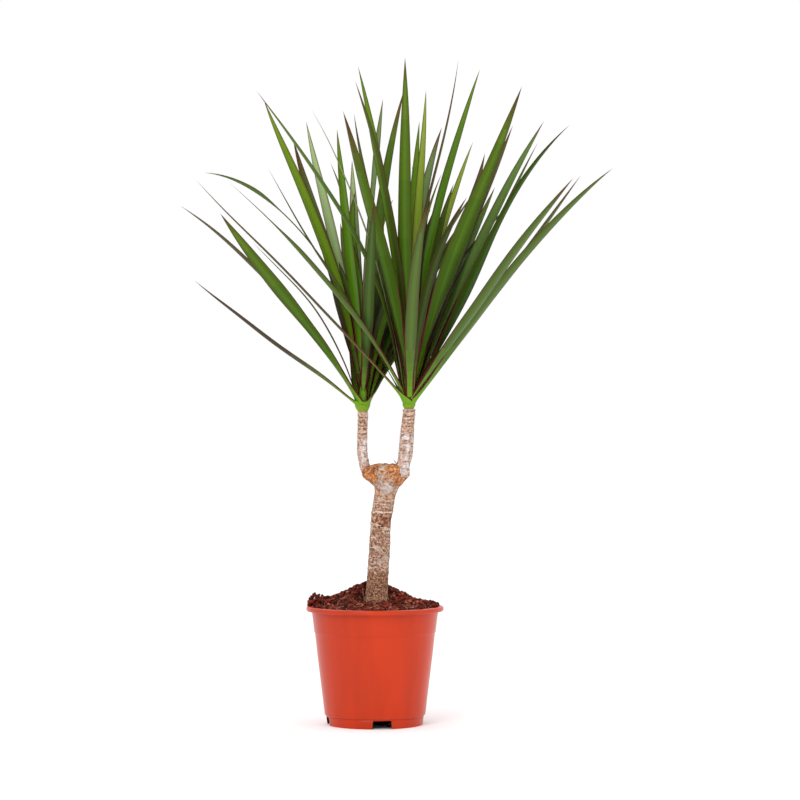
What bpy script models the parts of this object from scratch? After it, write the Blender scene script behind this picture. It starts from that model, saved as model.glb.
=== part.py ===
"""Potted madagascar dragon tree.

A plastic nursery pot of potting mix holds one leaning trunk. Its top is swollen into a burr,
and two boughs rise from that, each ending in a head of sword leaves. The outer leaves of a
head are pieces of their own, seated on a heart that the upright inner leaves are fused to.

Sizes are in millimetres and meshes are made in metres. The origin is the middle of the pot's
underside, +X runs to the right of the front view, +Y away from it and +Z up.
"""

import math

import bmesh
import bpy
from mathutils import Vector
from mathutils.bvhtree import BVHTree

MM = 0.001
GAP = 0.3  # between pieces that touch

# Pot: a moulded nursery pot, 14 cm across its rim
POT_HEIGHT = 118.0
POT_RIM_RADIUS = 68.6
POT_LIP_HEIGHT = 4.6
POT_LIP_ROUND = 1.2
CORNER_BULGE = 0.3  # how far in a rounded corner's middle lies, of its radius
POT_BODY_TOP_RADIUS = 63.3
POT_BODY_LOW_RADIUS = 50.3
POT_FOOT_HEIGHT = 9.4
POT_FOOT_RADIUS = 48.6
POT_FOOT_TAPER = 0.9
POT_BAND_HEIGHT = 92.0  # a shallow step runs round the wall here
POT_BAND_STEP = 0.5
POT_WALL = 1.3
POT_FLOOR = 8.9  # underside of the raised floor
POT_PAD_RADIUS = 14.0  # the middle of the floor drops to the ground
POT_PAD_SLOPE = 4.0
POT_EASE = 0.8  # the height of small slopes at the lip and the foot's groove
POT_STEPS = 56
NOTCH_COUNT = 4
NOTCH_TURN = math.radians(9)  # the front notch lies this far right of the front
NOTCH_TOP_WIDTH = 18.0
NOTCH_FOOT_WIDTH = 20.5
NOTCH_HEIGHT = 8.4
NOTCH_DEPTH = 12.0

# Potting mix: heaped above the rim, highest just behind the trunk
SOIL_EDGE_HEIGHT = 113.5
SOIL_MOUND_HEIGHT = 17.0
SOIL_MOUND_SPREAD = 40.0
SOIL_CREST = (-2.0, 24.0)
SOIL_CREST_HEIGHT = 9.0
SOIL_CREST_SPREAD = 24.0
SOIL_LUMPS = ((-50, 8, 9), (-26, -26, 3), (30, 34, 3), (40, -20, 2))
SOIL_LUMP_SPREAD = 11.0
SOIL_SEAT_HEIGHT = 124.0  # ground level at the trunk
SOIL_SEAT_RADIUS = 16.2
SOIL_SEAT_SLOPE = 6.0
SOIL_STEPS = 40
SOIL_RINGS = (8.0, 15.0, 19.0, 24.0, 31.0, 39.0, 47.0, 54.0, 59.0)

# Trunk and burr: height, middle across, half width, half depth
TRUNK_SECTIONS = (
    (124.3, 1.2, 12.6, 12.3),
    (127.0, 1.4, 11.6, 11.4),
    (133.0, 1.8, 11.0, 10.9),
    (162.0, 3.6, 10.5, 10.5),
    (182.0, 4.8, 10.3, 10.3),
    (196.0, 5.4, 10.0, 10.0),
    (213.0, 7.3, 10.4, 10.2),
    (229.0, 9.9, 10.8, 10.6),
    (235.0, 11.4, 11.8, 11.4),
    (239.0, 12.0, 14.0, 12.4),
    (244.0, 11.2, 19.4, 13.4),
    (249.0, 10.8, 22.8, 14.0),
    (254.0, 11.2, 23.4, 13.6),
    (257.5, 11.4, 20.4, 12.0),
    (259.4, 11.4, 14.0, 8.6),
)
TRUNK_SIDES = 20

# Boughs: middle across, depth, height and radius up each limb
BOUGH_SECTIONS = {
    "left": (
        (-8.0, 3.0, 250.0, 6.4),
        (-10.2, 4.5, 259.0, 5.8),
        (-12.8, 6.0, 269.0, 5.0),
        (-12.9, 7.0, 280.0, 4.8),
        (-12.6, 7.5, 296.0, 4.7),
        (-12.2, 8.0, 308.0, 4.9),
        (-12.2, 8.0, 312.0, 4.9),
    ),
    "right": (
        (27.5, -3.0, 249.0, 8.8),
        (29.8, -4.5, 259.0, 7.6),
        (31.0, -5.5, 270.0, 7.5),
        (31.6, -6.0, 284.0, 7.1),
        (32.8, -6.5, 300.0, 6.5),
        (34.0, -7.0, 311.0, 6.2),
        (34.0, -7.0, 315.0, 6.1),
    ),
}

# Heart: the clump of leaf bases on a bough's tip, height above the tip and radius
HEART_PROFILE = (
    (0.3, 4.8),
    (4.0, 6.4),
    (9.0, 8.4),
    (16.0, 10.0),
    (26.0, 10.2),
    (34.0, 8.6),
    (41.0, 6.0),
    (47.0, 3.0),
)
HEART_SIDES = 16

# The leaves were measured in the trunk's plane along sight lines from this point in front
SIGHT_X = 25.0
SIGHT_Z = 324.0
SIGHT_DISTANCE = 2800.0

# Leaf blade
LEAF_STATIONS = (0.0, 0.05, 0.13, 0.25, 0.38, 0.52, 0.66, 0.8, 0.92)
LEAF_THICKNESS = 0.0104  # of its length
LEAF_ROOT_WIDTH = 0.52  # of its full width
LEAF_FOLD = 0.2  # how far the edges rise above the midrib, of the width, at the root
LEAF_TIP_FOLD = 0.08
LEAF_CLEARANCE = 0.5  # kept to every other leaf and limb
LEAF_SINK = 1.2  # an outer leaf's root, under the heart's skin before it is cut back
LEAF_ROOT_THICKNESS = 0.7  # of its full thickness
LEAF_THICK_FROM = 0.15  # share of its length where it has its full thickness
LEAF_WIDE_FROM = 0.35  # and its full width
LEAF_TWIST_FROM = 0.5  # and its full twist
LEAF_TAPER = 2.6  # the higher, the nearer the tip it narrows
LEAF_THINNING = 0.6
LEAF_BEND = 0.5  # share of its length where a straight leaf has its bend
LEAF_BOW_BEND = 0.006  # further along for each millimetre of bow
LEAF_DEPTH_BEND = 0.84  # how far the bend has gone in depth, so that the tip leans out more
OUTER_ROOTS = (6.0, 31.0)  # heights above the bough's tip, the leaf that leans most lowest
FUSED_ROOTS = (25.0, 40.0)
FUSED_ROOT_PLACE = 0.5  # of the heart's radius
LEAN_MOST = math.radians(54)
LEAN_LEAST = math.radians(18)  # leaves more upright than this are fused to the heart
FUSED_START = 0.22  # fused leaves may merge below this share of their length
WELD = 0.02  # corners of a joined mesh nearer than this become one

# Ways to move a leaf clear of the others: along the line of sight, up the heart, round it
DEPTH_SHIFTS = (0, 6, -6, 12, -12, 20, -20, 30, -30, 42, -42)
ROOT_LIFTS = (0, 3, -3, 6, -6, 9, -9, 13, -13)
ROOT_SWINGS = (0, 12, -12, 24, -24, 38, -38)
OUTER_MOST = 50  # outer leaves of both heads together

# Measured leaves: tip across, tip height, tip depth, bow, width, twist
MEASURED_LEAVES = {
    "right": (
        (-183, 541, -95, 8, 9, 10),
        (-170, 552, 50, 34, 6, 25),
        (-145, 541, -130, 12, 10, 0),
        (-107, 556, 60, 0, 10, 0),
        (-120, 633, 25, 20, 10, 0),
        (-64, 615, 80, 13, 8, 0),
        (-17, 658, 60, 6, 11, 0),
        (-18, 644, -15, 11, 10, 0),
        (30, 667, -25, 0, 12, 0),
        (43, 603, 55, 4, 11, 0),
        (51, 634, 40, 2, 10, 0),
        (82, 665, 30, 6, 7, 0),
        (67, 597, 95, 14, 11, 0),
        (104, 655, 60, 7, 13, 20),
        (98, 582, 110, 10, 9, 0),
        (110, 571, 130, 2, 10, 0),
        (146, 638, -60, 3, 15, -45),
        (138, 599, 60, 3, 11, 0),
        (169, 603, 50, 6, 14, 20),
        (161, 583, 95, 1, 9, 0),
        (190, 602, -70, 9, 13, -25),
        (120, 537, 140, 4, 11, 0),
        (199, 546, -105, 6, 13, -15),
        (206, 549, 25, -2, 9, 0),
        (234, 559, -45, 4, 13, -35),
        (92, 527, -150, 12, 12, 0),
        (67, 551, -120, 10, 11, 0),
        (52, 520, -195, 4, 13, 0),
        (4, 519, -170, 0, 13, 0),
    ),
    "left": (
        (7, 625, 100, 5, 11, 0),
        (-193, 520, -30, 12, 9, 20),
        (-123, 482, 25, 9, 5, 0),
        (-154, 511, -120, 3, 14, -35),
        (-181, 444, -60, 0, 9, 0),
        (-110, 625, 70, 7, 13, 20),
        (-81, 585, 95, 8, 13, 25),
        (-71, 602, 130, 7, 12, 0),
        (-38, 595, 80, -2, 13, 10),
        (-45, 562, 150, 3, 11, 0),
        (-32, 613, -60, 14, 12, 0),
        (-21, 611, -10, 8, 10, 0),
        (-23, 564, 120, -1, 12, 0),
        (29, 634, 60, 7, 11, 0),
        (50, 505, 130, 5, 13, 0),
    ),
}

# Leaves behind the measured ones, dealt round each head by the golden angle
GOLDEN_ANGLE = math.pi * (3 - math.sqrt(5))
BACK_LEAVES = 18
BACK_FIRST = math.radians(28)
BACK_SECTOR = math.radians(88)
BACK_LEAN = (math.radians(20), math.radians(48))
BACK_LENGTH = (235.0, 300.0)
BACK_WIDTH = (10.5, 13.0)
BACK_BOW = 8.0
BACK_LENGTH_STEP = 0.618  # of the range from one leaf to the next
BACK_WIDTH_STEP = 0.382


def clear_scene():
    """Leave an empty scene with one collection for the plant and one for its cutters."""
    for item in list(bpy.data.objects):
        bpy.data.objects.remove(item, do_unlink=True)
    plant = bpy.data.collections.new("dragon_tree")
    cutters = bpy.data.collections.new("cutters")
    bpy.context.scene.collection.children.link(plant)
    bpy.context.scene.collection.children.link(cutters)
    return plant, cutters


def finish(name, colour, roughness):
    """A plain surface of one colour."""
    material = bpy.data.materials.new(name)
    material.use_nodes = True
    shader = material.node_tree.nodes["Principled BSDF"]
    shader.inputs["Base Color"].default_value = (*colour, 1.0)
    shader.inputs["Roughness"].default_value = roughness
    shader.inputs["Metallic"].default_value = 0.0
    return material


def new_object(name, mesh, collection, material=None):
    """An object for a mesh, in one collection and with one material."""
    item = bpy.data.objects.new(name, mesh)
    if material:
        mesh.materials.append(material)
    collection.objects.link(item)
    return item


def as_cutter(item):
    """Keep a helper out of the model."""
    item.hide_render = True
    item.display_type = "WIRE"
    return item


def subtract(item, cutter):
    """Cut one object by another."""
    cut = item.modifiers.new("clear of " + cutter.name, "BOOLEAN")
    cut.operation = "DIFFERENCE"
    cut.object = cutter
    return cut


def turned(name, profile, steps, collection, material=None):
    """A profile of (radius, height) points turned round the Z axis, down its outer side."""
    mesh = bpy.data.meshes.new(name)
    points = [(radius * MM, 0.0, height * MM) for radius, height in profile]
    mesh.from_pydata(points, [(i, i + 1) for i in range(len(points) - 1)], [])
    item = new_object(name, mesh, collection, material)
    screw = item.modifiers.new("turn", "SCREW")
    screw.steps = steps
    screw.render_steps = steps
    screw.use_merge_vertices = True
    screw.merge_threshold = 0.00001
    return item


def baked(item):
    """The object's mesh with its modifiers applied, in place of the plain one."""
    seen = item.evaluated_get(bpy.context.evaluated_depsgraph_get())
    mesh = bpy.data.meshes.new_from_object(seen)
    item.modifiers.clear()
    item.data = mesh
    return mesh


def lofted(name, rings, tip=None):
    """A closed mesh through rings of points, with flat ends or a pointed far end."""
    shape = bmesh.new()
    loops = [[shape.verts.new(point * MM) for point in ring] for ring in rings]
    sides = len(loops[0])
    for low, high in zip(loops, loops[1:]):
        for i in range(sides):
            j = (i + 1) % sides
            shape.faces.new((low[i], low[j], high[j], high[i]))
    shape.faces.new(loops[0][::-1])
    if tip is None:
        shape.faces.new(loops[-1])
    else:
        point = shape.verts.new(tip * MM)
        for i in range(sides):
            shape.faces.new((loops[-1][i], loops[-1][(i + 1) % sides], point))
    mesh = bpy.data.meshes.new(name)
    shape.to_mesh(mesh)
    shape.free()
    return mesh


def ellipse(middle, half_width, half_depth, sides):
    """A level ring of points round a middle."""
    turns = [2 * math.pi * i / sides for i in range(sides)]
    return [middle + Vector((half_width * math.cos(a), half_depth * math.sin(a), 0)) for a in turns]


def smooth(item, angle=40):
    """Shade round faces smooth and leave true edges sharp."""
    item.data.shade_smooth()
    item.data.set_sharp_from_angle(angle=math.radians(angle))


def pot_wall_radius(height):
    """Outer radius of the pot's plain wall at a height, above its band."""
    low, top = POT_FOOT_HEIGHT, POT_HEIGHT - POT_LIP_HEIGHT
    share = (height - low) / (top - low)
    return POT_BODY_LOW_RADIUS + (POT_BODY_TOP_RADIUS - POT_BODY_LOW_RADIUS) * share


def pot_inner_radius(height):
    """Inner radius of the pot's wall at a height."""
    return pot_wall_radius(height) - POT_BAND_STEP - POT_WALL


def make_pot(plant, cutters):
    """A thin turned pot with a rolled lip, a stepped band and a notched foot."""
    lip_low = POT_HEIGHT - POT_LIP_HEIGHT
    floor_top = POT_FLOOR + POT_WALL
    rim, corner = POT_RIM_RADIUS, POT_LIP_ROUND
    band_low = POT_BAND_HEIGHT - POT_EASE
    groove_top = POT_FOOT_HEIGHT + POT_EASE
    profile = [
        (0, POT_WALL),
        (POT_PAD_RADIUS - POT_WALL, POT_WALL),
        (POT_PAD_RADIUS + POT_PAD_SLOPE - POT_WALL, floor_top),
        (pot_inner_radius(floor_top), floor_top),
        (pot_inner_radius(POT_HEIGHT - POT_EASE), POT_HEIGHT - POT_EASE),
        (pot_inner_radius(POT_HEIGHT) + POT_EASE, POT_HEIGHT),
        (rim - corner, POT_HEIGHT),
        (rim - corner * CORNER_BULGE, POT_HEIGHT - corner * CORNER_BULGE),
        (rim, POT_HEIGHT - corner),
        (rim, lip_low + corner),
        (rim - corner, lip_low),
        (POT_BODY_TOP_RADIUS + POT_BAND_STEP, lip_low),
        (pot_wall_radius(lip_low - POT_EASE), lip_low - POT_EASE),
        (pot_wall_radius(POT_BAND_HEIGHT), POT_BAND_HEIGHT),
        (pot_wall_radius(band_low) - POT_BAND_STEP, band_low),
        (pot_wall_radius(groove_top), groove_top),
        (POT_FOOT_RADIUS - POT_BAND_STEP, POT_FOOT_HEIGHT),
        (POT_FOOT_RADIUS, POT_FOOT_HEIGHT - POT_EASE),
        (POT_FOOT_RADIUS - POT_FOOT_TAPER, 0),
        (POT_FOOT_RADIUS - POT_FOOT_TAPER - POT_WALL, 0),
        (POT_FOOT_RADIUS - POT_WALL, POT_FLOOR),
        (POT_PAD_RADIUS + POT_PAD_SLOPE, POT_FLOOR),
        (POT_PAD_RADIUS, 0),
        (0, 0),
    ]
    plastic = finish("orange_plastic", (0.62, 0.07, 0.025), 0.35)
    pot = turned("pot", profile, POT_STEPS, plant, plastic)
    for i in range(NOTCH_COUNT):
        turn = NOTCH_TURN - math.pi / 2 + i * 2 * math.pi / NOTCH_COUNT
        cutter = notch_cutter(i, turn, cutters)
        subtract(pot, cutter)
    return pot


def notch_cutter(index, turn, cutters):
    """A block narrowing upwards, set across the pot's foot at a turn about its axis."""
    name = "notch_%d" % index
    shape = bmesh.new()
    bmesh.ops.create_cube(shape, size=1.0)
    for corner in shape.verts:
        top = corner.co.z > 0
        width = NOTCH_TOP_WIDTH if top else NOTCH_FOOT_WIDTH
        corner.co.y *= width * MM
        corner.co.x = (corner.co.x * NOTCH_DEPTH + POT_FOOT_RADIUS) * MM
        corner.co.z = (NOTCH_HEIGHT if top else -NOTCH_HEIGHT) * MM
    mesh = bpy.data.meshes.new(name)
    shape.to_mesh(mesh)
    shape.free()
    cutter = new_object(name, mesh, cutters)
    cutter.rotation_euler.z = turn
    return as_cutter(cutter)


def bump(x, y, middle, height, spread):
    """Height of a round heap at a place."""
    away = (x - middle[0]) ** 2 + (y - middle[1]) ** 2
    return height * math.exp(-away / spread**2)


def soil_height(x, y):
    """Height of the heaped potting mix, level with its seat at the trunk."""
    foot = TRUNK_SECTIONS[0][1]
    heap = SOIL_EDGE_HEIGHT
    heap += bump(x, y, (0, 0), SOIL_MOUND_HEIGHT, SOIL_MOUND_SPREAD)
    heap += bump(x, y, SOIL_CREST, SOIL_CREST_HEIGHT, SOIL_CREST_SPREAD)
    for across, deep, rise in SOIL_LUMPS:
        heap += bump(x, y, (across, deep), rise, SOIL_LUMP_SPREAD)
    away = math.hypot(x - foot, y)
    share = min(max((away - SOIL_SEAT_RADIUS) / SOIL_SEAT_SLOPE, 0), 1)
    return SOIL_SEAT_HEIGHT + (heap - SOIL_SEAT_HEIGHT) * share


def make_soil(plant):
    """Potting mix that fills the pot and is heaped round the trunk's foot."""
    floor_top = POT_FLOOR + POT_WALL + GAP
    edge = pot_inner_radius(SOIL_EDGE_HEIGHT) - GAP
    profile = [(0, SOIL_EDGE_HEIGHT)]
    profile += [(radius, SOIL_EDGE_HEIGHT) for radius in SOIL_RINGS]
    profile += [
        (edge, SOIL_EDGE_HEIGHT),
        (pot_inner_radius(floor_top) - GAP, floor_top),
        (POT_PAD_RADIUS + POT_PAD_SLOPE - POT_WALL, floor_top),
        (POT_PAD_RADIUS - POT_WALL - GAP, POT_WALL + GAP),
        (0, POT_WALL + GAP),
    ]
    soil = turned("soil", profile, SOIL_STEPS, plant)
    mesh = baked(soil)
    mesh.materials.append(finish("potting_mix", (0.09, 0.035, 0.022), 0.95))
    for corner in mesh.vertices:
        x, y, z = corner.co / MM
        if z > SOIL_EDGE_HEIGHT - GAP and math.hypot(x, y) < edge - GAP:
            corner.co.z = soil_height(x, y) * MM
    return soil


def trunk_mesh(name, grow=0.0):
    """The trunk and its burr, or the same grown on every side."""
    rings = []
    for height, across, half_width, half_depth in TRUNK_SECTIONS:
        middle = Vector((across, 0, height))
        rings.append(ellipse(middle, half_width + grow, half_depth + grow, TRUNK_SIDES))
    if grow:
        for point in rings[-1]:
            point.z += grow
    return lofted(name, rings)


def make_trunk(plant, cutters):
    """The trunk, and a cutter that keeps the boughs clear of its burr."""
    bark = finish("ringed_bark", (0.36, 0.22, 0.13), 0.85)
    trunk = new_object("trunk", trunk_mesh("trunk"), plant, bark)
    smooth(trunk)
    cutter = new_object("burr_cutter", trunk_mesh("burr_cutter", GAP), cutters)
    return trunk, as_cutter(cutter)


def bough_tip(side):
    """The middle of a bough's top end."""
    return Vector(BOUGH_SECTIONS[side][-1][:3])


def make_bough(side, burr_cutter, plant):
    """One tapering limb on a tube curve, cut to sit on the burr."""
    name = side + "_bough"
    sections = BOUGH_SECTIONS[side]
    curve = bpy.data.curves.new(name, "CURVE")
    curve.dimensions = "3D"
    curve.bevel_depth = MM
    curve.bevel_resolution = 4
    curve.use_fill_caps = True
    spline = curve.splines.new("POLY")
    spline.points.add(len(sections) - 1)
    for point, (across, deep, height, radius) in zip(spline.points, sections):
        point.co = (across * MM, deep * MM, height * MM, 1)
        point.radius = radius
    tube = new_object(name + "_curve", curve, plant)
    bpy.context.view_layer.update()
    seen = tube.evaluated_get(bpy.context.evaluated_depsgraph_get())
    mesh = bpy.data.meshes.new_from_object(seen)
    mesh.name = name
    bpy.data.objects.remove(tube)
    shape = bmesh.new()
    shape.from_mesh(mesh)
    bmesh.ops.remove_doubles(shape, verts=shape.verts, dist=0.01 * MM)
    bmesh.ops.recalc_face_normals(shape, faces=shape.faces)
    shape.to_mesh(mesh)
    shape.free()
    mesh.materials.clear()
    bark = finish(name + "_bark", (0.45, 0.30, 0.22), 0.8)
    bough = new_object(name, mesh, plant, bark)
    smooth(bough)
    subtract(bough, burr_cutter)
    return bough


def heart_radius(height):
    """Radius of a heart at a height above its bough's tip."""
    for (low, small), (high, large) in zip(HEART_PROFILE, HEART_PROFILE[1:]):
        if height <= high:
            return small + (large - small) * (height - low) / (high - low)
    return HEART_PROFILE[-1][1]


def heart_mesh(name, tip, grow=0.0):
    """The clump of leaf bases on a bough, or the same grown on every side."""
    rings = []
    for height, radius in HEART_PROFILE:
        rings.append(ellipse(tip + Vector((0, 0, height)), radius + grow, radius + grow, HEART_SIDES))
    if grow:
        for point in rings[-1]:
            point.z += grow
        for point in rings[0]:
            point.z -= grow
    return lofted(name, rings)


def along_sight(across, height, depth):
    """The point at a depth that covers a point of the trunk's plane."""
    reach = 1 + depth / SIGHT_DISTANCE
    return Vector((SIGHT_X + (across - SIGHT_X) * reach, depth, SIGHT_Z + (height - SIGHT_Z) * reach))


def in_plane(point):
    """The place in the trunk's plane that a point covers: across and height."""
    reach = 1 + point.y / SIGHT_DISTANCE
    return SIGHT_X + (point.x - SIGHT_X) / reach, SIGHT_Z + (point.z - SIGHT_Z) / reach


def smoothstep(share):
    """An even rise from 0 to 1."""
    share = min(max(share, 0), 1)
    return share * share * (3 - 2 * share)


def leaf_lean(base, tip):
    """How far a leaf leans from upright."""
    rise = tip - base
    return math.atan2(math.hypot(rise.x, rise.y), rise.z)


def leaf_route(base, tip, bow, fused, lift, swing):
    """A leaf's root, its bend and its tip. The more it is bowed, the nearer the tip it bends."""
    rise = tip - base
    turn = math.atan2(rise.y, rise.x) + math.radians(swing)
    share = (LEAN_MOST - leaf_lean(base, tip)) / (LEAN_MOST - LEAN_LEAST)
    low, high = FUSED_ROOTS if fused else OUTER_ROOTS
    height = max(low + (high - low) * min(max(share, 0), 1) + lift, OUTER_ROOTS[0])
    away = heart_radius(height)
    away = away * FUSED_ROOT_PLACE if fused else away - LEAF_SINK
    root = base + Vector((away * math.cos(turn), away * math.sin(turn), height))
    chord = tip - root
    side = math.copysign(1, chord.x)
    seen = math.hypot(chord.x, chord.z)
    share = LEAF_BEND + LEAF_BOW_BEND * abs(bow)
    bend = root + chord * share
    bend.x -= side * chord.z / seen * 2 * bow
    bend.z += side * chord.x / seen * 2 * bow
    bend.y = root.y + chord.y * share * LEAF_DEPTH_BEND
    return root, bend, tip


def leaf_rings(route, width, twist, grow=0.0, start=0.0):
    """Sections of a folded blade along its route, or the same grown, from a start to its tip."""
    root, bend, tip = route
    chord = tip - root
    length = chord.length
    along = chord.normalized()
    up = Vector((0, 0, 1))
    upper = (up - along * along.dot(up)).normalized()
    across = along.cross(upper)
    if across.y > 0:
        toward = -across
    else:
        toward = across
    rings = []
    for station in LEAF_STATIONS:
        share = start + (1 - start) * station
        middle = root * (1 - share) ** 2 + bend * 2 * share * (1 - share) + tip * share**2
        heading = ((bend - root) * (1 - share) + (tip - bend) * share).normalized()
        turned_by = math.radians(twist) * smoothstep(share / LEAF_TWIST_FROM)
        face = upper * math.cos(turned_by) + toward * math.sin(turned_by)
        face = (face - heading * heading.dot(face)).normalized()
        sideways = face.cross(heading)
        taper = 1 - share**LEAF_TAPER
        spread = LEAF_ROOT_WIDTH + (1 - LEAF_ROOT_WIDTH) * smoothstep(share / LEAF_WIDE_FROM)
        half = width * spread * taper / 2
        fold = 2 * half * (LEAF_FOLD + (LEAF_TIP_FOLD - LEAF_FOLD) * share)
        swell = LEAF_ROOT_THICKNESS + (1 - LEAF_ROOT_THICKNESS) * smoothstep(share / LEAF_THICK_FROM)
        thick = LEAF_THICKNESS * length * swell * taper**LEAF_THINNING / 2
        rings.append(
            [
                middle - sideways * (half + grow) + face * fold,
                middle - face * (thick + grow),
                middle + sideways * (half + grow) + face * fold,
                middle + face * (thick + grow),
            ]
        )
    return rings, tip + along * grow


def solid_tree(rings, tip):
    """A search tree over a lofted solid's faces."""
    sides = len(rings[0])
    points = [point for ring in rings for point in ring] + [tip]
    faces = []
    for row in range(len(rings) - 1):
        for i in range(sides):
            j = (i + 1) % sides
            low, high = row * sides, (row + 1) * sides
            faces.append((low + i, low + j, high + j))
            faces.append((low + i, high + j, high + i))
    last = (len(rings) - 1) * sides
    faces += [(last + i, last + (i + 1) % sides, len(points) - 1) for i in range(sides)]
    faces += [(0, 2, 1), (0, 3, 2)]
    return BVHTree.FromPolygons(points, faces)


def trunk_probe():
    """Search trees over the trunk, in millimetres, in the same form as a leaf's."""
    mesh = trunk_mesh("trunk_probe")
    points = [corner.co / MM for corner in mesh.vertices]
    tree = BVHTree.FromPolygons(points, [face.vertices[:] for face in mesh.polygons])
    bpy.data.meshes.remove(mesh)
    return tree, tree


def back_leaves(side):
    """Rows for the leaves behind the measured ones, in the same form."""
    base = bough_tip(side)
    rows = []
    for i in range(BACK_LEAVES):
        share = (i + 0.5) / BACK_LEAVES
        turn = BACK_FIRST + BACK_SECTOR * ((i * GOLDEN_ANGLE / (2 * math.pi)) % 1)
        lean = BACK_LEAN[0] + (BACK_LEAN[1] - BACK_LEAN[0]) * share
        length = BACK_LENGTH[0] + (BACK_LENGTH[1] - BACK_LENGTH[0]) * (i * BACK_LENGTH_STEP % 1)
        width = BACK_WIDTH[0] + (BACK_WIDTH[1] - BACK_WIDTH[0]) * (i * BACK_WIDTH_STEP % 1)
        level = length * math.sin(lean)
        tip = base + Vector((level * math.cos(turn), level * math.sin(turn), length * math.cos(lean)))
        across, height = in_plane(tip)
        rows.append((across, height, tip.y, BACK_BOW * abs(math.cos(turn)), width, 0))
    return rows


def leaf_probe(route, width, twist, grow, fused):
    """Search trees over a leaf: the whole of it, and the part that may not merge with fused ones."""
    whole = solid_tree(*leaf_rings(route, width, twist, grow))
    free = solid_tree(*leaf_rings(route, width, twist, grow, FUSED_START)) if fused else whole
    return whole, free


def is_clear(side, probe, fused, placed):
    """Whether a leaf clears all that is placed, but for the roots of its own head's fused leaves."""
    for other_side, other_fused, other in placed:
        merges = fused and other_fused and side == other_side
        if probe[merges].overlap(other[merges]):
            return False
    return True


def place_leaf(side, row, fused, placed):
    """The least moved route on which a leaf clears all that is placed, or nothing."""
    across, height, depth, bow, width, twist = row
    base = bough_tip(side)
    ways = [
        (abs(shift) / 6 + abs(lift) / 3 + abs(swing) / 10, shift, lift, swing)
        for shift in DEPTH_SHIFTS
        for lift in ROOT_LIFTS
        for swing in ROOT_SWINGS
    ]
    for _, shift, lift, swing in sorted(ways):
        tip = along_sight(across, height, depth + shift)
        route = leaf_route(base, tip, bow, fused, lift, swing)
        probe = leaf_probe(route, width, twist, LEAF_CLEARANCE, fused)
        if is_clear(side, probe, fused, placed):
            return route
    return None


def grow_heads():
    """Every leaf's side, route, width, twist and whether it is fused, clear of one another."""
    placed = [("", False, trunk_probe())]
    leaves = []
    rows = [(side, row) for side in MEASURED_LEAVES for row in MEASURED_LEAVES[side]]
    rows += [(side, row) for side in MEASURED_LEAVES for row in back_leaves(side)]
    for side, row in rows:
        outer = sum(not leaf[4] for leaf in leaves)
        tip = along_sight(*row[:3])
        upright = leaf_lean(bough_tip(side), tip) < LEAN_LEAST or outer >= OUTER_MOST
        route = None
        for fused in (True,) if upright else (False, True):
            route = place_leaf(side, row, fused, placed)
            if route:
                break
        if route is None:
            continue
        placed.append((side, fused, leaf_probe(route, row[4], row[5], 0.0, fused)))
        leaves.append((side, route, row[4], row[5], fused))
    return leaves


def outer_shell(mesh):
    """Keep a joined mesh's tallest shell, so that sealed hollows are filled and scraps dropped."""
    shape = bmesh.new()
    shape.from_mesh(mesh)
    bmesh.ops.remove_doubles(shape, verts=shape.verts, dist=WELD * MM)
    bmesh.ops.dissolve_degenerate(shape, edges=shape.edges, dist=WELD * MM)
    left = set(shape.faces)
    shells = []
    while left:
        queue = [left.pop()]
        shell = set(queue)
        while queue:
            near = {face for edge in queue.pop().edges for face in edge.link_faces} & left
            left -= near
            shell |= near
            queue += near
        shells.append(shell)
    tallest = max(shells, key=lambda shell: max(corner.co.z for face in shell for corner in face.verts))
    loose = [face for face in shape.faces if face not in tallest]
    bmesh.ops.delete(shape, geom=loose, context="FACES")
    shape.to_mesh(mesh)
    shape.free()


def make_heart(side, leaves, plant, leaf_green):
    """A head's clump of leaf bases with its upright leaves, joined by one union."""
    name = side + "_heart"
    group = bpy.data.collections.new(name + "_leaves")
    bpy.context.scene.collection.children.link(group)
    for i, (route, width, twist) in enumerate(leaves):
        mesh = lofted("inner_leaf_%d" % i, *leaf_rings(route, width, twist))
        new_object("inner_leaf_%d" % i, mesh, group)
    heart = new_object(name, heart_mesh(name, bough_tip(side)), plant)
    union = heart.modifiers.new("join leaves", "BOOLEAN")
    union.operation = "UNION"
    union.operand_type = "COLLECTION"
    union.collection = group
    bpy.context.view_layer.update()
    mesh = baked(heart)
    for item in list(group.objects):
        bpy.data.objects.remove(item, do_unlink=True)
    bpy.data.collections.remove(group)
    outer_shell(mesh)
    mesh.materials.clear()
    mesh.materials.append(leaf_green)
    smooth(heart)
    return heart


def make_heads(plant, cutters):
    """Both heads: a heart each, and outer leaves cut back to sit on it."""
    leaves = grow_heads()
    leaf_green = finish("leaf_green", (0.08, 0.19, 0.035), 0.45)
    for side in MEASURED_LEAVES:
        inner = [leaf[1:4] for leaf in leaves if leaf[0] == side and leaf[4]]
        outer = [leaf[1:4] for leaf in leaves if leaf[0] == side and not leaf[4]]
        make_heart(side, inner, plant, leaf_green)
        cutter_mesh = heart_mesh(side + "_heart_cutter", bough_tip(side), GAP)
        cutter = as_cutter(new_object(side + "_heart_cutter", cutter_mesh, cutters))
        for i, (route, width, twist) in enumerate(outer):
            name = "%s_leaf_%02d" % (side, i + 1)
            mesh = lofted(name, *leaf_rings(route, width, twist))
            leaf = new_object(name, mesh, plant, leaf_green)
            smooth(leaf)
            subtract(leaf, cutter)


def main():
    """Build the whole plant."""
    plant, cutters = clear_scene()
    make_pot(plant, cutters)
    make_soil(plant)
    _, burr_cutter = make_trunk(plant, cutters)
    for side in BOUGH_SECTIONS:
        make_bough(side, burr_cutter, plant)
    make_heads(plant, cutters)


main()
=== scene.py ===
import math
import random

import bmesh
import bpy
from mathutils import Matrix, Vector, noise
from mathutils.bvhtree import BVHTree


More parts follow.
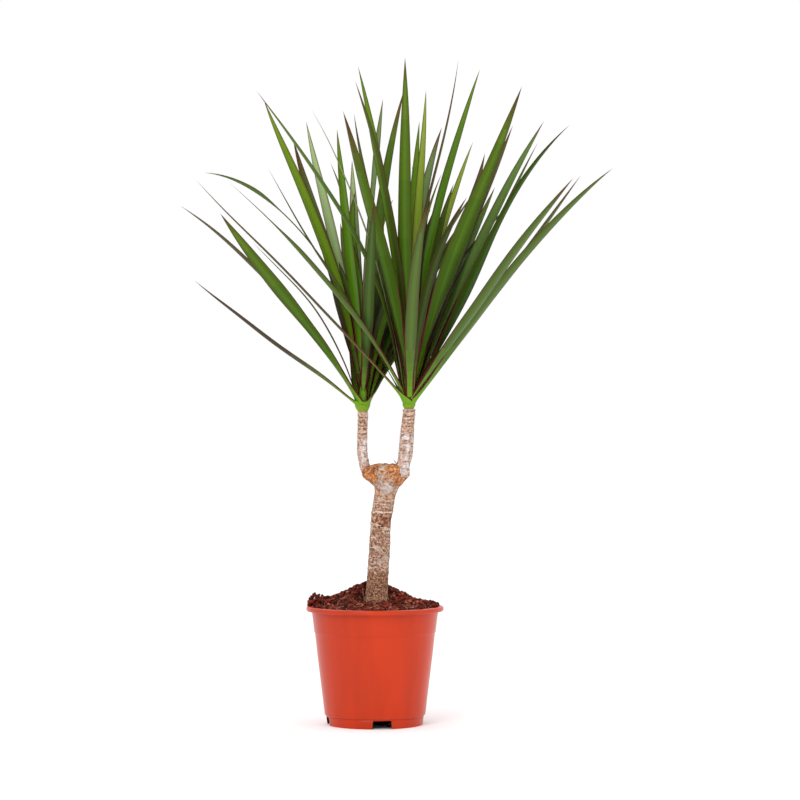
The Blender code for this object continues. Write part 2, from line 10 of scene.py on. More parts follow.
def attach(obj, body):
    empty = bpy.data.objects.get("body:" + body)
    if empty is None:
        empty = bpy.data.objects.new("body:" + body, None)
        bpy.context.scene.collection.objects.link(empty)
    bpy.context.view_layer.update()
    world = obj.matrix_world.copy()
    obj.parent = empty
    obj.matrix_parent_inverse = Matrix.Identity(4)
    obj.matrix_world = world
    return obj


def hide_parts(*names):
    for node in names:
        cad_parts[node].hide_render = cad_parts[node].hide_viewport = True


# Young madagascar dragon tree in its nursery pot. Lengths are in millimetres unless said.

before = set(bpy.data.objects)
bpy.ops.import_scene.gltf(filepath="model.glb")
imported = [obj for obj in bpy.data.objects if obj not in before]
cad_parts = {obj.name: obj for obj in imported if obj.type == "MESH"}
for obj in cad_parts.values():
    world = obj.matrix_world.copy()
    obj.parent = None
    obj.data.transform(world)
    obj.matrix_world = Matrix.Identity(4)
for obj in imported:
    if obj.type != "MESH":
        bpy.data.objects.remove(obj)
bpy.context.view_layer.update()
mm = 0.001
body = "root"
anyTurn = 6.28  # random turns are drawn from 0 up to this
print("frame loaded:", len(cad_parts), "solids")


def linear(hexColour):
    # sRGB hex to the linear values that the shaders work in
    values = [int(hexColour[i:i + 2], 16) / 255 for i in (1, 3, 5)]
    return [v / 12.92 if v <= 0.04045 else ((v + 0.055) / 1.055) ** 2.4 for v in values] + [1.0]


def addNode(tree, kind, settings=None, links=None):
    # one node, its settings by socket or property name, and what feeds its sockets
    node = tree.nodes.new(kind)
    for name, value in (settings or {}).items():
        if isinstance(name, int) or name in node.inputs:
            node.inputs[name].default_value = value
        else:
            setattr(node, name, value)
    for name, source in (links or {}).items():
        tree.links.new(source, node.inputs[name])
    return node


def plainFinish(name, colour, roughness, ior=1.45, **sockets):
    # a Principled surface; other sockets are given by name with _ for a space
    material = bpy.data.materials.new(name)
    material.use_nodes = True
    shader = material.node_tree.nodes["Principled BSDF"]
    shader.inputs["Base Color"].default_value = linear(colour)
    shader.inputs["Roughness"].default_value = roughness
    shader.inputs["IOR"].default_value = ior
    for socket, value in sockets.items():
        shader.inputs[socket.replace("_", " ")].default_value = value
    return material


def placeOn(tree, stretch, coordinates="Object"):
    # where on a piece a pattern is read, drawn out by stretch
    place = addNode(tree, "ShaderNodeTexCoord").outputs[coordinates]
    return addNode(tree, "ShaderNodeMapping", {"Scale": stretch}, {"Vector": place}).outputs[0]


def setStops(ramp, stops):
    # a colour ramp's stops, each a position and a linear colour
    elements = ramp.color_ramp.elements
    while len(elements) < len(stops):
        elements.new(0.5)
    for element, (position, colour) in zip(elements, stops):
        element.position = position
        element.color = colour


def patchy(material, grain, stops, detail, stretch=(1, 1, 1)):
    # colours the surface by a noise whose patches are about grain mm across
    tree = material.node_tree
    settings = {"Scale": 1 / (grain * mm), "Detail": detail}
    pattern = addNode(tree, "ShaderNodeTexNoise", settings, {"Vector": placeOn(tree, stretch)})
    ramp = addNode(tree, "ShaderNodeValToRGB", links={"Fac": pattern.outputs["Fac"]})
    setStops(ramp, [(position, linear(colour)) for position, colour in stops])
    tree.links.new(ramp.outputs["Color"], tree.nodes["Principled BSDF"].inputs["Base Color"])
    return material


def grained(material, grain, depth, stretch=(1, 1, 1), detail=3.0, coordinates="Object"):
    # raises the surface by up to depth mm in a noise of about grain mm
    tree = material.node_tree
    settings = {"Scale": 1 / (grain * mm), "Detail": detail}
    place = placeOn(tree, stretch, coordinates)
    pattern = addNode(tree, "ShaderNodeTexNoise", settings, {"Vector": place})
    settings = {"Strength": 1.0, "Distance": depth * mm}
    raised = addNode(tree, "ShaderNodeBump", settings, {"Height": pattern.outputs["Fac"]})
    tree.links.new(raised.outputs["Normal"], tree.nodes["Principled BSDF"].inputs["Normal"])
    return material


class MeshBuilder:
    # gathers points, faces and their finishes, then makes one smooth mesh piece of them
    def __init__(self, name):
        self.name = name
        self.points = []
        self.faces = []
        self.slots = []
        self.places = []
        self.materials = []

    def slotOf(self, material):
        if material not in self.materials:
            self.materials.append(material)
        return self.materials.index(material)

    def add(self, points, faces, slots, places=None):
        start = len(self.points)
        self.points += [tuple(p) for p in points]
        self.faces += [tuple(i + start for i in face) for face in faces]
        self.slots += slots
        self.places += places or [(0.0, 0.0)] * len(points)

    def build(self, slot, *nodes):
        mesh = bpy.data.meshes.new(self.name)
        mesh.from_pydata([(x * mm, y * mm, z * mm) for x, y, z in self.points], [], self.faces)
        for material in self.materials:
            mesh.materials.append(material)
        mesh.polygons.foreach_set("material_index", self.slots)
        layer = mesh.uv_layers.new(name="UVMap")
        for loop in mesh.loops:
            layer.data[loop.index].uv = self.places[loop.vertex_index]
        mesh.shade_smooth()
        mesh.validate()
        piece = bpy.data.objects.new(self.name, mesh)
        bpy.context.scene.collection.objects.link(piece)
        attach(piece, body)
        if nodes:
            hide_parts(*nodes)
        return piece


def clamped(share):
    return min(max(share, 0), 1)


def smoothstep(share):
    share = clamped(share)
    return share * share * (3 - 2 * share)


def mix(a, b, share):
    return a + (b - a) * share


def onRing(radius, angle, height=0):
    return Vector((radius * math.cos(angle), radius * math.sin(angle), height))


def evenTurns(sides):
    # the angles of points dealt evenly round a ring
    return [2 * math.pi * i / sides for i in range(sides)]


def bandFaces(low, high, sides):
    # quads between the rings of points that start at low and at high
    return [(low + i, low + (i + 1) % sides, high + (i + 1) % sides, high + i) for i in range(sides)]


def tubeFaces(rings, sides):
    # a closed tube: its bands, then its two ends
    faces = []
    for r in range(rings - 1):
        faces += bandFaces(r * sides, (r + 1) * sides, sides)
    return faces + [tuple(range(sides))[::-1], tuple(range((rings - 1) * sides, rings * sides))]


def relief(point, layers):
    # a sum of noises, each with the size of its lumps and how far they stand out
    height = 0
    for size, rise in layers:
        height += noise.noise(point / size) * rise
    return height


def alongRows(rows, height, column=0):
    # the row at a height, eased between the given ones
    for i in range(len(rows) - 1):
        low, high = rows[i][column], rows[i + 1][column]
        if height <= high or i == len(rows) - 2:
            share = clamped((height - low) / (high - low))
            before, after = rows[max(i - 1, 0)], rows[min(i + 2, len(rows) - 1)]
            out = []
            for a, b, c, d in zip(before, rows[i], rows[i + 1], after):
                out.append(0.5 * (2 * b + (c - a) * share + (2 * a - 5 * b + 4 * c - d) * share ** 2
                                  + (3 * b - a - 3 * c + d) * share ** 3))
            return out


# Heads: where each stands, and how its clump of leaf bases swells by height above the stem's tip
headShape = {
    "tips": {"left": (-12.2, 8.0, 312.0), "right": (34.0, -7.0, 315.0)},
    "profile": ((0.3, 4.8), (4.0, 6.4), (9.0, 8.4), (16.0, 10.0), (26.0, 10.2), (34.0, 8.6), (41.0, 6.0),
                (47.0, 3.0)),
}

# The view that the leaves were measured in: from the front, in the trunk's plane
sight = {"across": 25.0, "height": 324.0, "distance": 2800.0}

# How a leaf grows, by the solids' own rule
leafRule = {
    "stations": (0.0, 0.05, 0.13, 0.25, 0.38, 0.52, 0.66, 0.8, 0.92),
    "thickness": 0.0104,  # of its length, in the solids
    "rootWidth": 0.52,
    "fold": 0.2,
    "tipFold": 0.08,
    "clearance": 0.5,
    "sink": 1.2,
    "rootThickness": 0.7,
    "thickFrom": 0.15,
    "wideFrom": 0.35,
    "twistFrom": 0.5,
    "taper": 2.6,
    "thinning": 0.6,
    "bend": 0.5,
    "bowBend": 0.006,
    "depthBend": 0.84,
    "swayGain": 6.75,  # so that a leaf sways by the given lengths a third and two thirds up
    "outerRoots": (6.0, 31.0),
    "fusedRoots": (25.0, 40.0),
    "fusedRootPlace": 0.5,
    "leanMost": math.radians(54),
    "leanLeast": math.radians(18),
    "fusedStart": 0.22,
    "outerMost": 50,
    # moves that a leaf may make to find room: in depth, up its head and round it
    "depthShifts": (0, 6, -6, 12, -12, 20, -20, 30, -30, 42, -42),
    "rootLifts": (0, 3, -3, 6, -6, 9, -9, 13, -13),
    "rootSwings": (0, 12, -12, 24, -24, 38, -38),
    "moveUnits": (6, 3, 10),  # as much of each counts the same
}

# Leaves measured on each head: tip across, tip height, tip depth, bow, width, twist, tint, where its
# tip's colour starts, how much of its width shows, and how far it sways low down, high up and at its tip
measuredLeaves = {
    "right": (
        (-183, 541, -95, 8, 9, 10, "dusk", 0.95, 0.9, -1.2, -4.5, 5),
        (-170, 552, 50, 34, 6, 25, "ashen", 0.95, 1.5, -5.5, 3, -1),
        (-145, 541, -130, 12, 10, 0, "ashen", 0.8, 0.3, 1, -3, 0),
        (-107, 556, 60, 0, 10, 0, "ashen", 0.9, 0.5, 0, -2.5, 0),
        (-120, 633, 25, 20, 10, 0, "leafy", 0.9, 1.4, 9, -6.8, 1.5),
        (-64, 615, 80, 13, 8, 0, "pale", 0.95, 0.3, 0, 0, 0),
        (-17, 658, 60, 6, 11, 0, "fresh", 0.95, 1.0, 0.5, -1.3, 0),
        (-18, 644, -15, 11, 10, 0, "olive", 0.86, 2.0, 0, -3, -2),
        (30, 667, -25, 0, 12, 0, "mid", 0.91, 1.05, -2.5, -0.3, 0),
        (43, 603, 55, 4, 11, 0, "fresh", 0.95, 0.85, 0, 1.5, 1.5),
        (51, 634, 40, 2, 10, 0, "yellow", 0.95, 0.9, 0, 2, 0),
        (82, 665, 30, 6, 7, 0, "dusk", 0.8, 0.6, -8.5, 5.5, 1.5),
        (67, 597, 95, 14, 11, 0, "sage", 0.85, 1.0, 0, 2.2, 0),
        (104, 655, 60, 7, 13, 20, "leafy", 0.95, 0.72, -2.5, 0.4, 1),
        (98, 582, 110, 10, 9, 0, "yellow", 0.95, 0.95, 0, 2, 0),
        (110, 571, 130, 2, 10, 0, "dusk", 0.9, 1.3, -4, 5, 0),
        (146, 638, -60, 3, 15, -45, "mid", 0.85, 0.92, -3.5, 2, 1),
        (138, 599, 60, 3, 11, 0, "dusk", 0.9, 1.6, 0, 2.5, 0),
        (169, 603, 50, 6, 14, 20, "fern", 0.92, 1.05, 0, 1, 0),
        (161, 583, 95, 1, 9, 0, "ashen", 0.9, 0.9, 0, 0.8, 2.5),
        (190, 602, -70, 9, 13, -25, "deep", 0.9, 0.65, 9, -6.2, 5.7),
        (120, 537, 140, 4, 11, 0, "mid", 0.95, 1.2, 0, 1.5, 0),
        (199, 546, -105, 6, 13, -15, "ashen", 0.85, 1.0, 3, 1.5, -0.5),
        (206, 549, 25, -2, 9, 0, "olive", 0.8, 2.2, -0.5, 1.5, 0),
        (234, 559, -45, 4, 13, -35, "ashen", 0.95, 0.88, 0.8, -4.8, 5),
        (92, 527, -150, 12, 12, 0, "shade", 0.8, 0.75, 0, -0.5, 0),
        (67, 551, -120, 10, 11, 0, "olive", 0.9, 0.4, 0, -2, 0),
        (52, 520, -195, 4, 13, 0, "ashen", 0.85, 0.85, 0, -2, 0),
        (-32, 613, -60, 7, 12, 0, "mid", 0.75, 1.5, -2, -4.2, 0),
        (-21, 611, 20, 7, 9, 0, "ashen", 0.85, 1.2, 0, -8.5, 0),
    ),
    "left": (
        (7, 625, 100, 5, 11, 0, "sage", 0.95, 0.9, 0, 1.4, 1),
        (-193, 520, -30, 12, 9, 20, "dusk", 0.95, 1.5, 1.5, -1.2, -2.5),
        (-123, 482, 25, 9, 5, 0, "dusk", 0.95, 0.9, 5, -0.5, 0),
        (-154, 511, -120, 3, 14, -35, "mid", 0.9, 1.0, 2.1, -3.5, -1),
        (-181, 444, -60, 0, 9, 0, "umber", 0.9, 1.3, 1, -3, 0),
        (-110, 625, 70, 7, 13, 20, "bright", 0.93, 0.9, 8, -3.3, -1.5),
        (-81, 585, 95, 8, 13, 25, "ashen", 0.72, 0.88, -1, -6.2, -1),
        (-71, 602, 130, 7, 12, 0, "pale", 0.95, 0.95, 0, -4, 2.5),
        (-38, 595, 80, -2, 13, 10, "fresh", 0.93, 0.75, 1.5, 0.4, 0),
        (-45, 562, 150, 3, 11, 0, "sage", 0.9, 0.5, 6, 9, 0),
        (-23, 564, 120, -1, 12, 0, "pale", 0.95, 0.95, 0, 0, 0),
        (29, 634, 60, 7, 11, 0, "mid", 0.82, 0.95, 0, 0.2, 0),
        (50, 505, 130, 5, 13, 0, "deep", 0.95, 1.0, -4, 0, 0),
        (-1, 524, -130, 0, 11, 0, "slate", 0.86, 0.95, 1, 0, 0),
    ),
}

# Leaves that show another share of their width low down, by their tips: that share, and where it
# starts and ends to pass into the share above
evenWidth = (1, 0, 0.25)
lateLeaves = {
    (-154, 511): (0.68, 0.34, 0.62),
    (-170, 552): (0.3, 0.62, 0.78),
    (-145, 541): (0.95, 0.6, 0.8),
    (146, 638): (1.2, 0.45, 0.75),
    (7, 625): (0.5, 0.62, 0.85),
    (190, 602): (1.1, 0.3, 0.6),
    (199, 546): (1.25, 0.12, 0.4),
    (234, 559): (1.5, 0.12, 0.4),
    (206, 549): (3.0, 0.12, 0.4),
}

# Leaves behind the measured ones, dealt round each head by the golden angle; angles in radians
backLeaves = {
    "count": 18,
    "first": math.radians(28),
    "sector": math.radians(88),
    "lean": (math.radians(20), math.radians(48)),
    "length": (235.0, 300.0),
    "width": (10.5, 13.0),
    "bow": 8.0,
    "lengthStep": 0.618,
    "widthStep": 0.382,
    "tints": ("mid", "deep", "leafy", "deep", "mid", "ashen"),
    "tipFrom": 0.92,
}

# Fine leaves that only the dressed crown has, in what room is left between the others
fineLeaves = {
    "count": 30,
    "first": math.radians(28),
    "sector": math.radians(100),
    "lean": (math.radians(12), math.radians(50)),
    "length": (150.0, 285.0),
    "width": (9.0, 12.0),
    "thickness": 0.004,  # of its length, for the test of what is clear
    "clearance": 0.15,
    "depthShifts": (0, 7, -7, 14, -14),
    "rootLifts": (0, 4, -4, 8),
    "rootSwings": (0, 14, -14, 28, -28),
}
goldenAngle = math.pi * (3 - math.sqrt(5))

# Short inner leaves, dark green as painted shade, that fill the shade between the others, in the measured
# ones' form
innerLeaves = {
    "left": (
        (34, 440, 120, 0, 13, 0, "deep", 0.95, 1.0, 0, 0, 0),
        (12, 462, 120, 2, 13, 0, "deep", 0.95, 1.0, 0, 0, 0),
        (-47, 462, 110, 0, 13, 0, "shade", 0.95, 1.0, 0, 0, 0),
    ),
    "right": (
        (63, 456, 120, 3, 13, 0, "deep", 0.95, 1.0, 0, 0, 0),
        (93, 434, 120, 0, 13, 0, "deep", 0.95, 1.0, 0, 0, 0),
    ),
}

# Where sky shows between the leaves from the front, across and up in the trunk's plane
skyGaps = {
    "spots": (
        (-15, 512), (-15, 496), (-12, 486), (-14, 454), (-10, 454), (11, 496), (12, 484), (16, 464),
        (17.5, 456), (0.5, 536), (19, 534), (22, 519), (55, 508), (57, 520), (60, 545), (80, 550),
        (78, 530), (84, 562), (-67, 479), (-66, 450), (-62, 420), (-55, 392), (-50, 436), (-67, 419),
        (-60, 440), (-36, 520), (-30, 560), (-32.5, 379), (-27, 358), (-23, 346), (-36, 394),
        (-60, 466), (-57, 462), (77, 552), (79, 560), (81, 566), (76, 545), (118, 472), (116, 468),
        (113, 463), (117, 473), (128, 490), (138, 519), (127, 572), (122, 566), (108, 555),
        (117, 545), (86, 505), (93, 520), (58, 524), (57, 512), (62, 534), (65, 541), (59, 519),
        (75, 534), (77, 546), (80, 556), (80, 519), (85, 524), (90, 534), (192, 484), (175, 471),
        (155, 456), (135, 439), (-54, 433), (-53, 420), (-58, 461), (-55, 457), (-51, 455),
    ),
    "room": 0.8,
    "steps": 40,  # places along a leaf that are looked at, from the fourth on
    "firstStep": 4,
    "lastShare": 0.99,
    # what a leaf from behind may do to let them show: lean aside, or stay shorter
    "lowSways": (0, 6, -6),
    "sways": (0, 4, -4, 8, -8, 12, -12, 16, -16),
    "lengths": (1.0, 0.93, 0.86, 0.78, 0.7),
    # what that costs, in gaps hidden: the whole length, and each millimetre of sway
    "lengthCost": 2,
    "swayCost": 0.02,
}


def headTip(side):
    return Vector(headShape["tips"][side])


def heartRadius(height):
    profile = headShape["profile"]
    for (low, small), (high, large) in zip(profile, profile[1:]):
        if height <= high:
            return small + (large - small) * (height - low) / (high - low)
    return profile[-1][1]


def alongSight(across, height, depth):
    # the point at a depth that covers a point of the trunk's plane
    reach = 1 + depth / sight["distance"]
    x = sight["across"] + (across - sight["across"]) * reach
    return Vector((x, depth, sight["height"] + (height - sight["height"]) * reach))


def inPlane(point):
    reach = 1 + point.y / sight["distance"]
    x = sight["across"] + (point.x - sight["across"]) / reach
    return x, sight["height"] + (point.z - sight["height"]) / reach


def leafLean(base, tip):
    rise = tip - base
    return math.atan2(math.hypot(rise.x, rise.y), rise.z)


def leafRoute(base, tip, bow, fused, lift, swing):
    # root, bend and tip; the more a leaf is bowed, the nearer the tip it bends
    rise = tip - base
    turn = math.atan2(rise.y, rise.x) + math.radians(swing)
    share = (leafRule["leanMost"] - leafLean(base, tip)) / (leafRule["leanMost"] - leafRule["leanLeast"])
    low, high = leafRule["fusedRoots"] if fused else leafRule["outerRoots"]
    height = max(mix(low, high, clamped(share)) + lift, leafRule["outerRoots"][0])
    away = heartRadius(height)
    away = away * leafRule["fusedRootPlace"] if fused else away - leafRule["sink"]
    root = base + onRing(away, turn, height)
    chord = tip - root
    side = math.copysign(1, chord.x)
    seen = math.hypot(chord.x, chord.z)
    share = leafRule["bend"] + leafRule["bowBend"] * abs(bow)
    bend = root + chord * share
    bend.x -= side * chord.z / seen * 2 * bow
    bend.z += side * chord.x / seen * 2 * bow
    bend.y = root.y + chord.y * share * leafRule["depthBend"]
    return root, bend, tip


def bladeFrame(route, width, twist, share):
    # middle, heading, sideways, face, half width, fold and taper of a blade at a share of its length
    root, bend, tip = route
    chord = tip - root
    along = chord.normalized()
    up = Vector((0, 0, 1))
    upper = (up - along * along.dot(up)).normalized()
    across = along.cross(upper)
    toward = -across if across.y > 0 else across
    middle = root * (1 - share) ** 2 + bend * 2 * share * (1 - share) + tip * share ** 2
    heading = ((bend - root) * (1 - share) + (tip - bend) * share).normalized()
    turned = math.radians(twist) * smoothstep(share / leafRule["twistFrom"])
    face = upper * math.cos(turned) + toward * math.sin(turned)
    face = (face - heading * heading.dot(face)).normalized()
    sideways = face.cross(heading)
    taper = 1 - share ** leafRule["taper"]
    spread = mix(leafRule["rootWidth"], 1, smoothstep(share / leafRule["wideFrom"]))
    half = width * spread * taper / 2
    fold = 2 * half * mix(leafRule["fold"], leafRule["tipFold"], share)
    return middle, heading, sideways, face, half, fold, taper


def leafRings(route, width, twist, thickness, grow=0.0, start=0.0):
    # the solids' own sections of a blade, or the same grown
    root, _, tip = route
    length = (tip - root).length
    along = (tip - root).normalized()
    rings = []
    for station in leafRule["stations"]:
        share = start + (1 - start) * station
        middle, _, sideways, face, half, fold, taper = bladeFrame(route, width, twist, share)
        swell = mix(leafRule["rootThickness"], 1, smoothstep(share / leafRule["thickFrom"]))
        thick = thickness * length * swell * taper ** leafRule["thinning"] / 2
        rings.append([middle - sideways * (half + grow) + face * fold, middle - face * (thick + grow),
                      middle + sideways * (half + grow) + face * fold, middle + face * (thick + grow)])
    return rings, tip + along * grow


def solidTree(rings, tip):
    # a search tree over a lofted solid's faces
    sides = len(rings[0])
    points = [point for ring in rings for point in ring] + [tip]
    faces = []
    for row in range(len(rings) - 1):
        for i in range(sides):
            j = (i + 1) % sides
            low, high = row * sides, (row + 1) * sides
            faces.append((low + i, low + j, high + j))
            faces.append((low + i, high + j, high + i))
    last = (len(rings) - 1) * sides
    faces += [(last + i, last + (i + 1) % sides, len(points) - 1) for i in range(sides)]
    faces += [(0, 2, 1), (0, 3, 2)]
    return BVHTree.FromPolygons(points, faces)


def leafProbe(route, width, twist, thickness, grow, fused):
    # search trees over a leaf: the whole, and the part that may not merge with fused ones
    whole = solidTree(*leafRings(route, width, twist, thickness, grow))
    if not fused:
        return whole, whole
    return whole, solidTree(*leafRings(route, width, twist, thickness, grow, leafRule["fusedStart"]))


def isClear(side, probe, fused, placed):
    for otherSide, otherFused, other in placed:
        merges = fused and otherFused and side == otherSide
        if probe[merges].overlap(other[merges]):
            return False
    return True


def placeLeaf(side, row, fused, placed, rule):
    # the least moved route on which a leaf clears all that is placed, or nothing
    across, height, depth, bow, width, twist = row
    base = headTip(side)
    perShift, perLift, perSwing = leafRule["moveUnits"]
    ways = [(abs(shift) / perShift + abs(lift) / perLift + abs(swing) / perSwing, shift, lift, swing)
            for shift in rule["depthShifts"] for lift in rule["rootLifts"] for swing in rule["rootSwings"]]
    for _, shift, lift, swing in sorted(ways):
        tip = alongSight(across, height, depth + shift)
        route = leafRoute(base, tip, bow, fused, lift, swing)
        probe = leafProbe(route, width, twist, rule["thickness"], rule["clearance"], fused)
        if isClear(side, probe, fused, placed):
            return route
    return None


def rowsByRule(side, rule):
    # rows for leaves that follow a rule, in the measured ones' form
    base = headTip(side)
    rows = []
    for i in range(rule["count"]):
        share = (i + 0.5) / rule["count"]
        turn = rule["first"] + rule["sector"] * ((i * goldenAngle / (2 * math.pi)) % 1)
        lean = mix(*rule["lean"], share)
        length = mix(*rule["length"], i * backLeaves["lengthStep"] % 1)
        width = mix(*rule["width"], i * backLeaves["widthStep"] % 1)
        tip = base + onRing(length * math.sin(lean), turn, length * math.cos(lean))
        across, height = inPlane(tip)
        tint = backLeaves["tints"][i % len(backLeaves["tints"])]
        bow = backLeaves["bow"] * abs(math.cos(turn))
        rows.append((across, height, tip.y, bow, width, 0, tint, backLeaves["tipFrom"], 1.0, 0, 0, 0))
    return rows


def swayOf(route, share, low, high, tip=0):
    # how far a leaf's middle moves aside, in the front view
    chord = (route[2] - route[0]).normalized()
    reach = leafRule["swayGain"] * share * (1 - share) * (low * (1 - share) + high * share)
    return Vector((chord.z, 0, -chord.x)) * (reach + tip * share ** 3)


def skyHidden(route, width, low=0, high=0):
    # how many of the gaps a leaf hides
    seen = []
    for i in range(skyGaps["firstStep"], skyGaps["steps"] + 1):
        share = i / skyGaps["steps"]
        blade = bladeFrame(route, width, 0, min(share, skyGaps["lastShare"]))
        middle, _, sideways, _, half, _, taper = blade
        across, height = inPlane(middle + swayOf(route, share, low, high))
        grown = half / taper * (1 - share ** leafBlade["taper"]) + leafBlade["extraWidth"] / 2
        seen.append((across, height, grown * math.hypot(sideways.x, sideways.z) + skyGaps["room"]))
    return sum(any(math.hypot(x - across, z - height) < reach for across, height, reach in seen)
               for x, z in skyGaps["spots"])


def clearOfSky(leaf):
    # leans or shortens a leaf from behind until it leaves the gaps open
    root, bend, tip = leaf["route"]
    best = None
    for keep in skyGaps["lengths"]:
        route = (root, root + (bend - root) * keep, root + (tip - root) * keep)
        for low in skyGaps["lowSways"]:
            for high in skyGaps["sways"]:
                cost = skyHidden(route, leaf["width"], low, high) + (1 - keep) * skyGaps["lengthCost"]
                cost += (abs(high) + abs(low)) * skyGaps["swayCost"]
                if best is None or cost < best[0]:
                    best = (cost, route, (low, high, 0))
    leaf["route"], leaf["sway"] = best[1:]


def trunkProbe():
    # search trees over the trunk's solid, as for a leaf on no head
    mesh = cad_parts["trunk"].data
    points = [corner.co / mm for corner in mesh.vertices]
    tree = BVHTree.FromPolygons(points, [face.vertices[:] for face in mesh.polygons])
    return "", False, (tree, tree)


def probeOf(leaf, rule):
    # a leaf that stands, in the form that isClear looks through
    probe = leafProbe(leaf["route"], leaf["width"], leaf["twist"], rule["thickness"], 0.0, leaf["fused"])
    return leaf["side"], leaf["fused"], probe


def leafRecord(side, route, row, fused, fine):
    width, twist, tint, tipFrom, spread = row[4:9]
    return {"side": side, "route": route, "width": width, "twist": twist, "tint": tint,
            "tipFrom": tipFrom, "spread": spread, "sway": row[9:12],
            "late": lateLeaves.get(row[:2], evenWidth), "fused": fused, "fine": fine}


def growHeads():
    # the leaves of the solids, of which those behind then make way for the sky, and after them the
    # fine and the inner ones
    placed = [trunkProbe()]
    leaves = []
    rows = [(side, row) for side in measuredLeaves for row in measuredLeaves[side]]
    rows += [(side, row) for side in measuredLeaves for row in rowsByRule(side, backLeaves)]
    for side, row in rows:
        outer = sum(not leaf["fused"] for leaf in leaves)
        tip = alongSight(*row[:3])
        upright = leafLean(headTip(side), tip) < leafRule["leanLeast"] or outer >= leafRule["outerMost"]
        for fused in (True,) if upright else (False, True):
            route = placeLeaf(side, row[:6], fused, placed, leafRule)
            if route:
                leaf = leafRecord(side, route, row, fused, False)
                placed.append(probeOf(leaf, leafRule))
                if row not in measuredLeaves[side]:
                    clearOfSky(leaf)
                leaves.append(leaf)
                break
    placed = [trunkProbe()] + [probeOf(leaf, fineLeaves) for leaf in leaves]
    solidCount = len(leaves)
    for side in measuredLeaves:
        for row in rowsByRule(side, fineLeaves):
            fused = leafLean(headTip(side), alongSight(*row[:3])) < leafRule["leanLeast"]
            route = placeLeaf(side, row[:6], fused, placed, fineLeaves)
            if route and not skyHidden(route, row[4]):
                leaves.append(leafRecord(side, route, row, fused, True))
                placed.append(probeOf(leaves[-1], fineLeaves))
        for row in innerLeaves[side]:
            route = leafRoute(headTip(side), alongSight(*row[:3]), row[3], True, 0, 0)
            leaves.append(leafRecord(side, route, row, True, True))
    print("leaves placed:", solidCount, "as in the solids and", len(leaves) - solidCount, "fine ones")
    return leaves


# Leaf finishes: a living blade under a thin wax cuticle, which gives a soft satin sheen.
# Colours that have a place are plain ones, dealt out by leaf and by zone.
leafFinish = {
    "roughness": 0.4,
    "ior": 1.38,  # wax cuticle
    "specular": 0.14,  # low, as the wax scatters what it mirrors
    "veinSpacing": 0.9,  # fine veins, drawn as coarse as they need to be to show
    "veinDepth": 0.1,
    "veinStretch": 0.01,  # a hundredfold along the blade
    "lime": "#7A9020",  # clasping leaf bases
    "neck": "#62921E",  # just above them
    "limeEnd": 0.3,  # where the one has turned into the other, on the way to the blade's colour
    "tints": {
        "bright": "#5C7C10",
        "fresh": "#4A7408",
        "leafy": "#467010",
        "mid": "#3A580C",
        "deep": "#294306",
        "shade": "#2A3808",
        "slate": "#3A5220",
        "olive": "#44520E",
        "umber": "#403626",
        "dusk": "#544E2C",
        # ashen and sage: partly the leaves' own grey-green, partly painted sheen, the bluish gleam of leaves
        # that face up
        "ashen": "#4A6028",
        "sage": "#647C48",
        "fern": "#567234",
        "pale": "#96AC74",
        "yellow": "#80982E",
    },
    "outer": ("#40241C", 0.16),  # the purple that tinges a blade beside its margin, and how much of it
    "edge": ("#461C16", 0.62),  # the thin brown edge higher up
    "high": "#8C9230",  # painted light: the light that shows through a green blade's upper half, painted in as a yellower colour
    # tints that get the painted backlight
    "paintedBacklight": ("bright", "fresh", "leafy", "mid", "yellow"),
    "rib": ("#8FA860", 0.13),  # the paler stripe along the midrib's underside
    "tip": "#4E2A1A",
    "margin": "#4E141A",  # maroon edge that names the kind
    "marginTip": "#583020",
}


def blend(first, second, share):
    # a hex colour between two others
    pairs = [(int(first[i:i + 2], 16), int(second[i:i + 2], 16)) for i in (1, 3, 5)]
    return "#" + "".join("%02X" % round(mix(a, b, share)) for a, b in pairs)


def leafMaterial(name, colour):
    # blades are striped lengthwise by their veins
    f = leafFinish
    material = plainFinish("waxyLeaf-" + name, colour, f["roughness"], f["ior"],
                           Specular_IOR_Level=f["specular"])
    return grained(material, f["veinSpacing"], f["veinDepth"], (1, f["veinStretch"], 1), 1.0, "UV")


leafMaterials = {}


def leafTone(tint, band, greening, tipping, high=0):
    # the finish for a tint, a band across the blade, and how far it is past its base or into its tip
    key = (tint, band, greening, tipping, high)
    if key not in leafMaterials:
        # painted backlight: these tints are blended towards the yellower colour up the blade
        backlitShare = high if tint in leafFinish["paintedBacklight"] else 0
        colour = blend(leafFinish["tints"][tint], leafFinish["high"], backlitShare)
        if band in ("outer", "rib", "edge"):
            other, share = leafFinish[band]
            colour = blend(colour, other, share)
        limeEnd = leafFinish["limeEnd"]
        if greening < limeEnd:
            colour = blend(leafFinish["lime"], leafFinish["neck"], greening / limeEnd)
        elif greening < 1:
            colour = blend(leafFinish["neck"], colour, (greening - limeEnd) / (1 - limeEnd))
        colour = blend(colour, leafFinish["tip"], tipping)
        name = "-".join([tint, band] + ["%02d" % round(value * 100) for value in (greening, tipping, high)])
        leafMaterials[key] = leafMaterial(name, colour)
    return leafMaterials[key]


def marginTone(name):
    if name not in leafMaterials:
        leafMaterials[name] = leafMaterial(name, leafFinish[name])
    return leafMaterials[name]


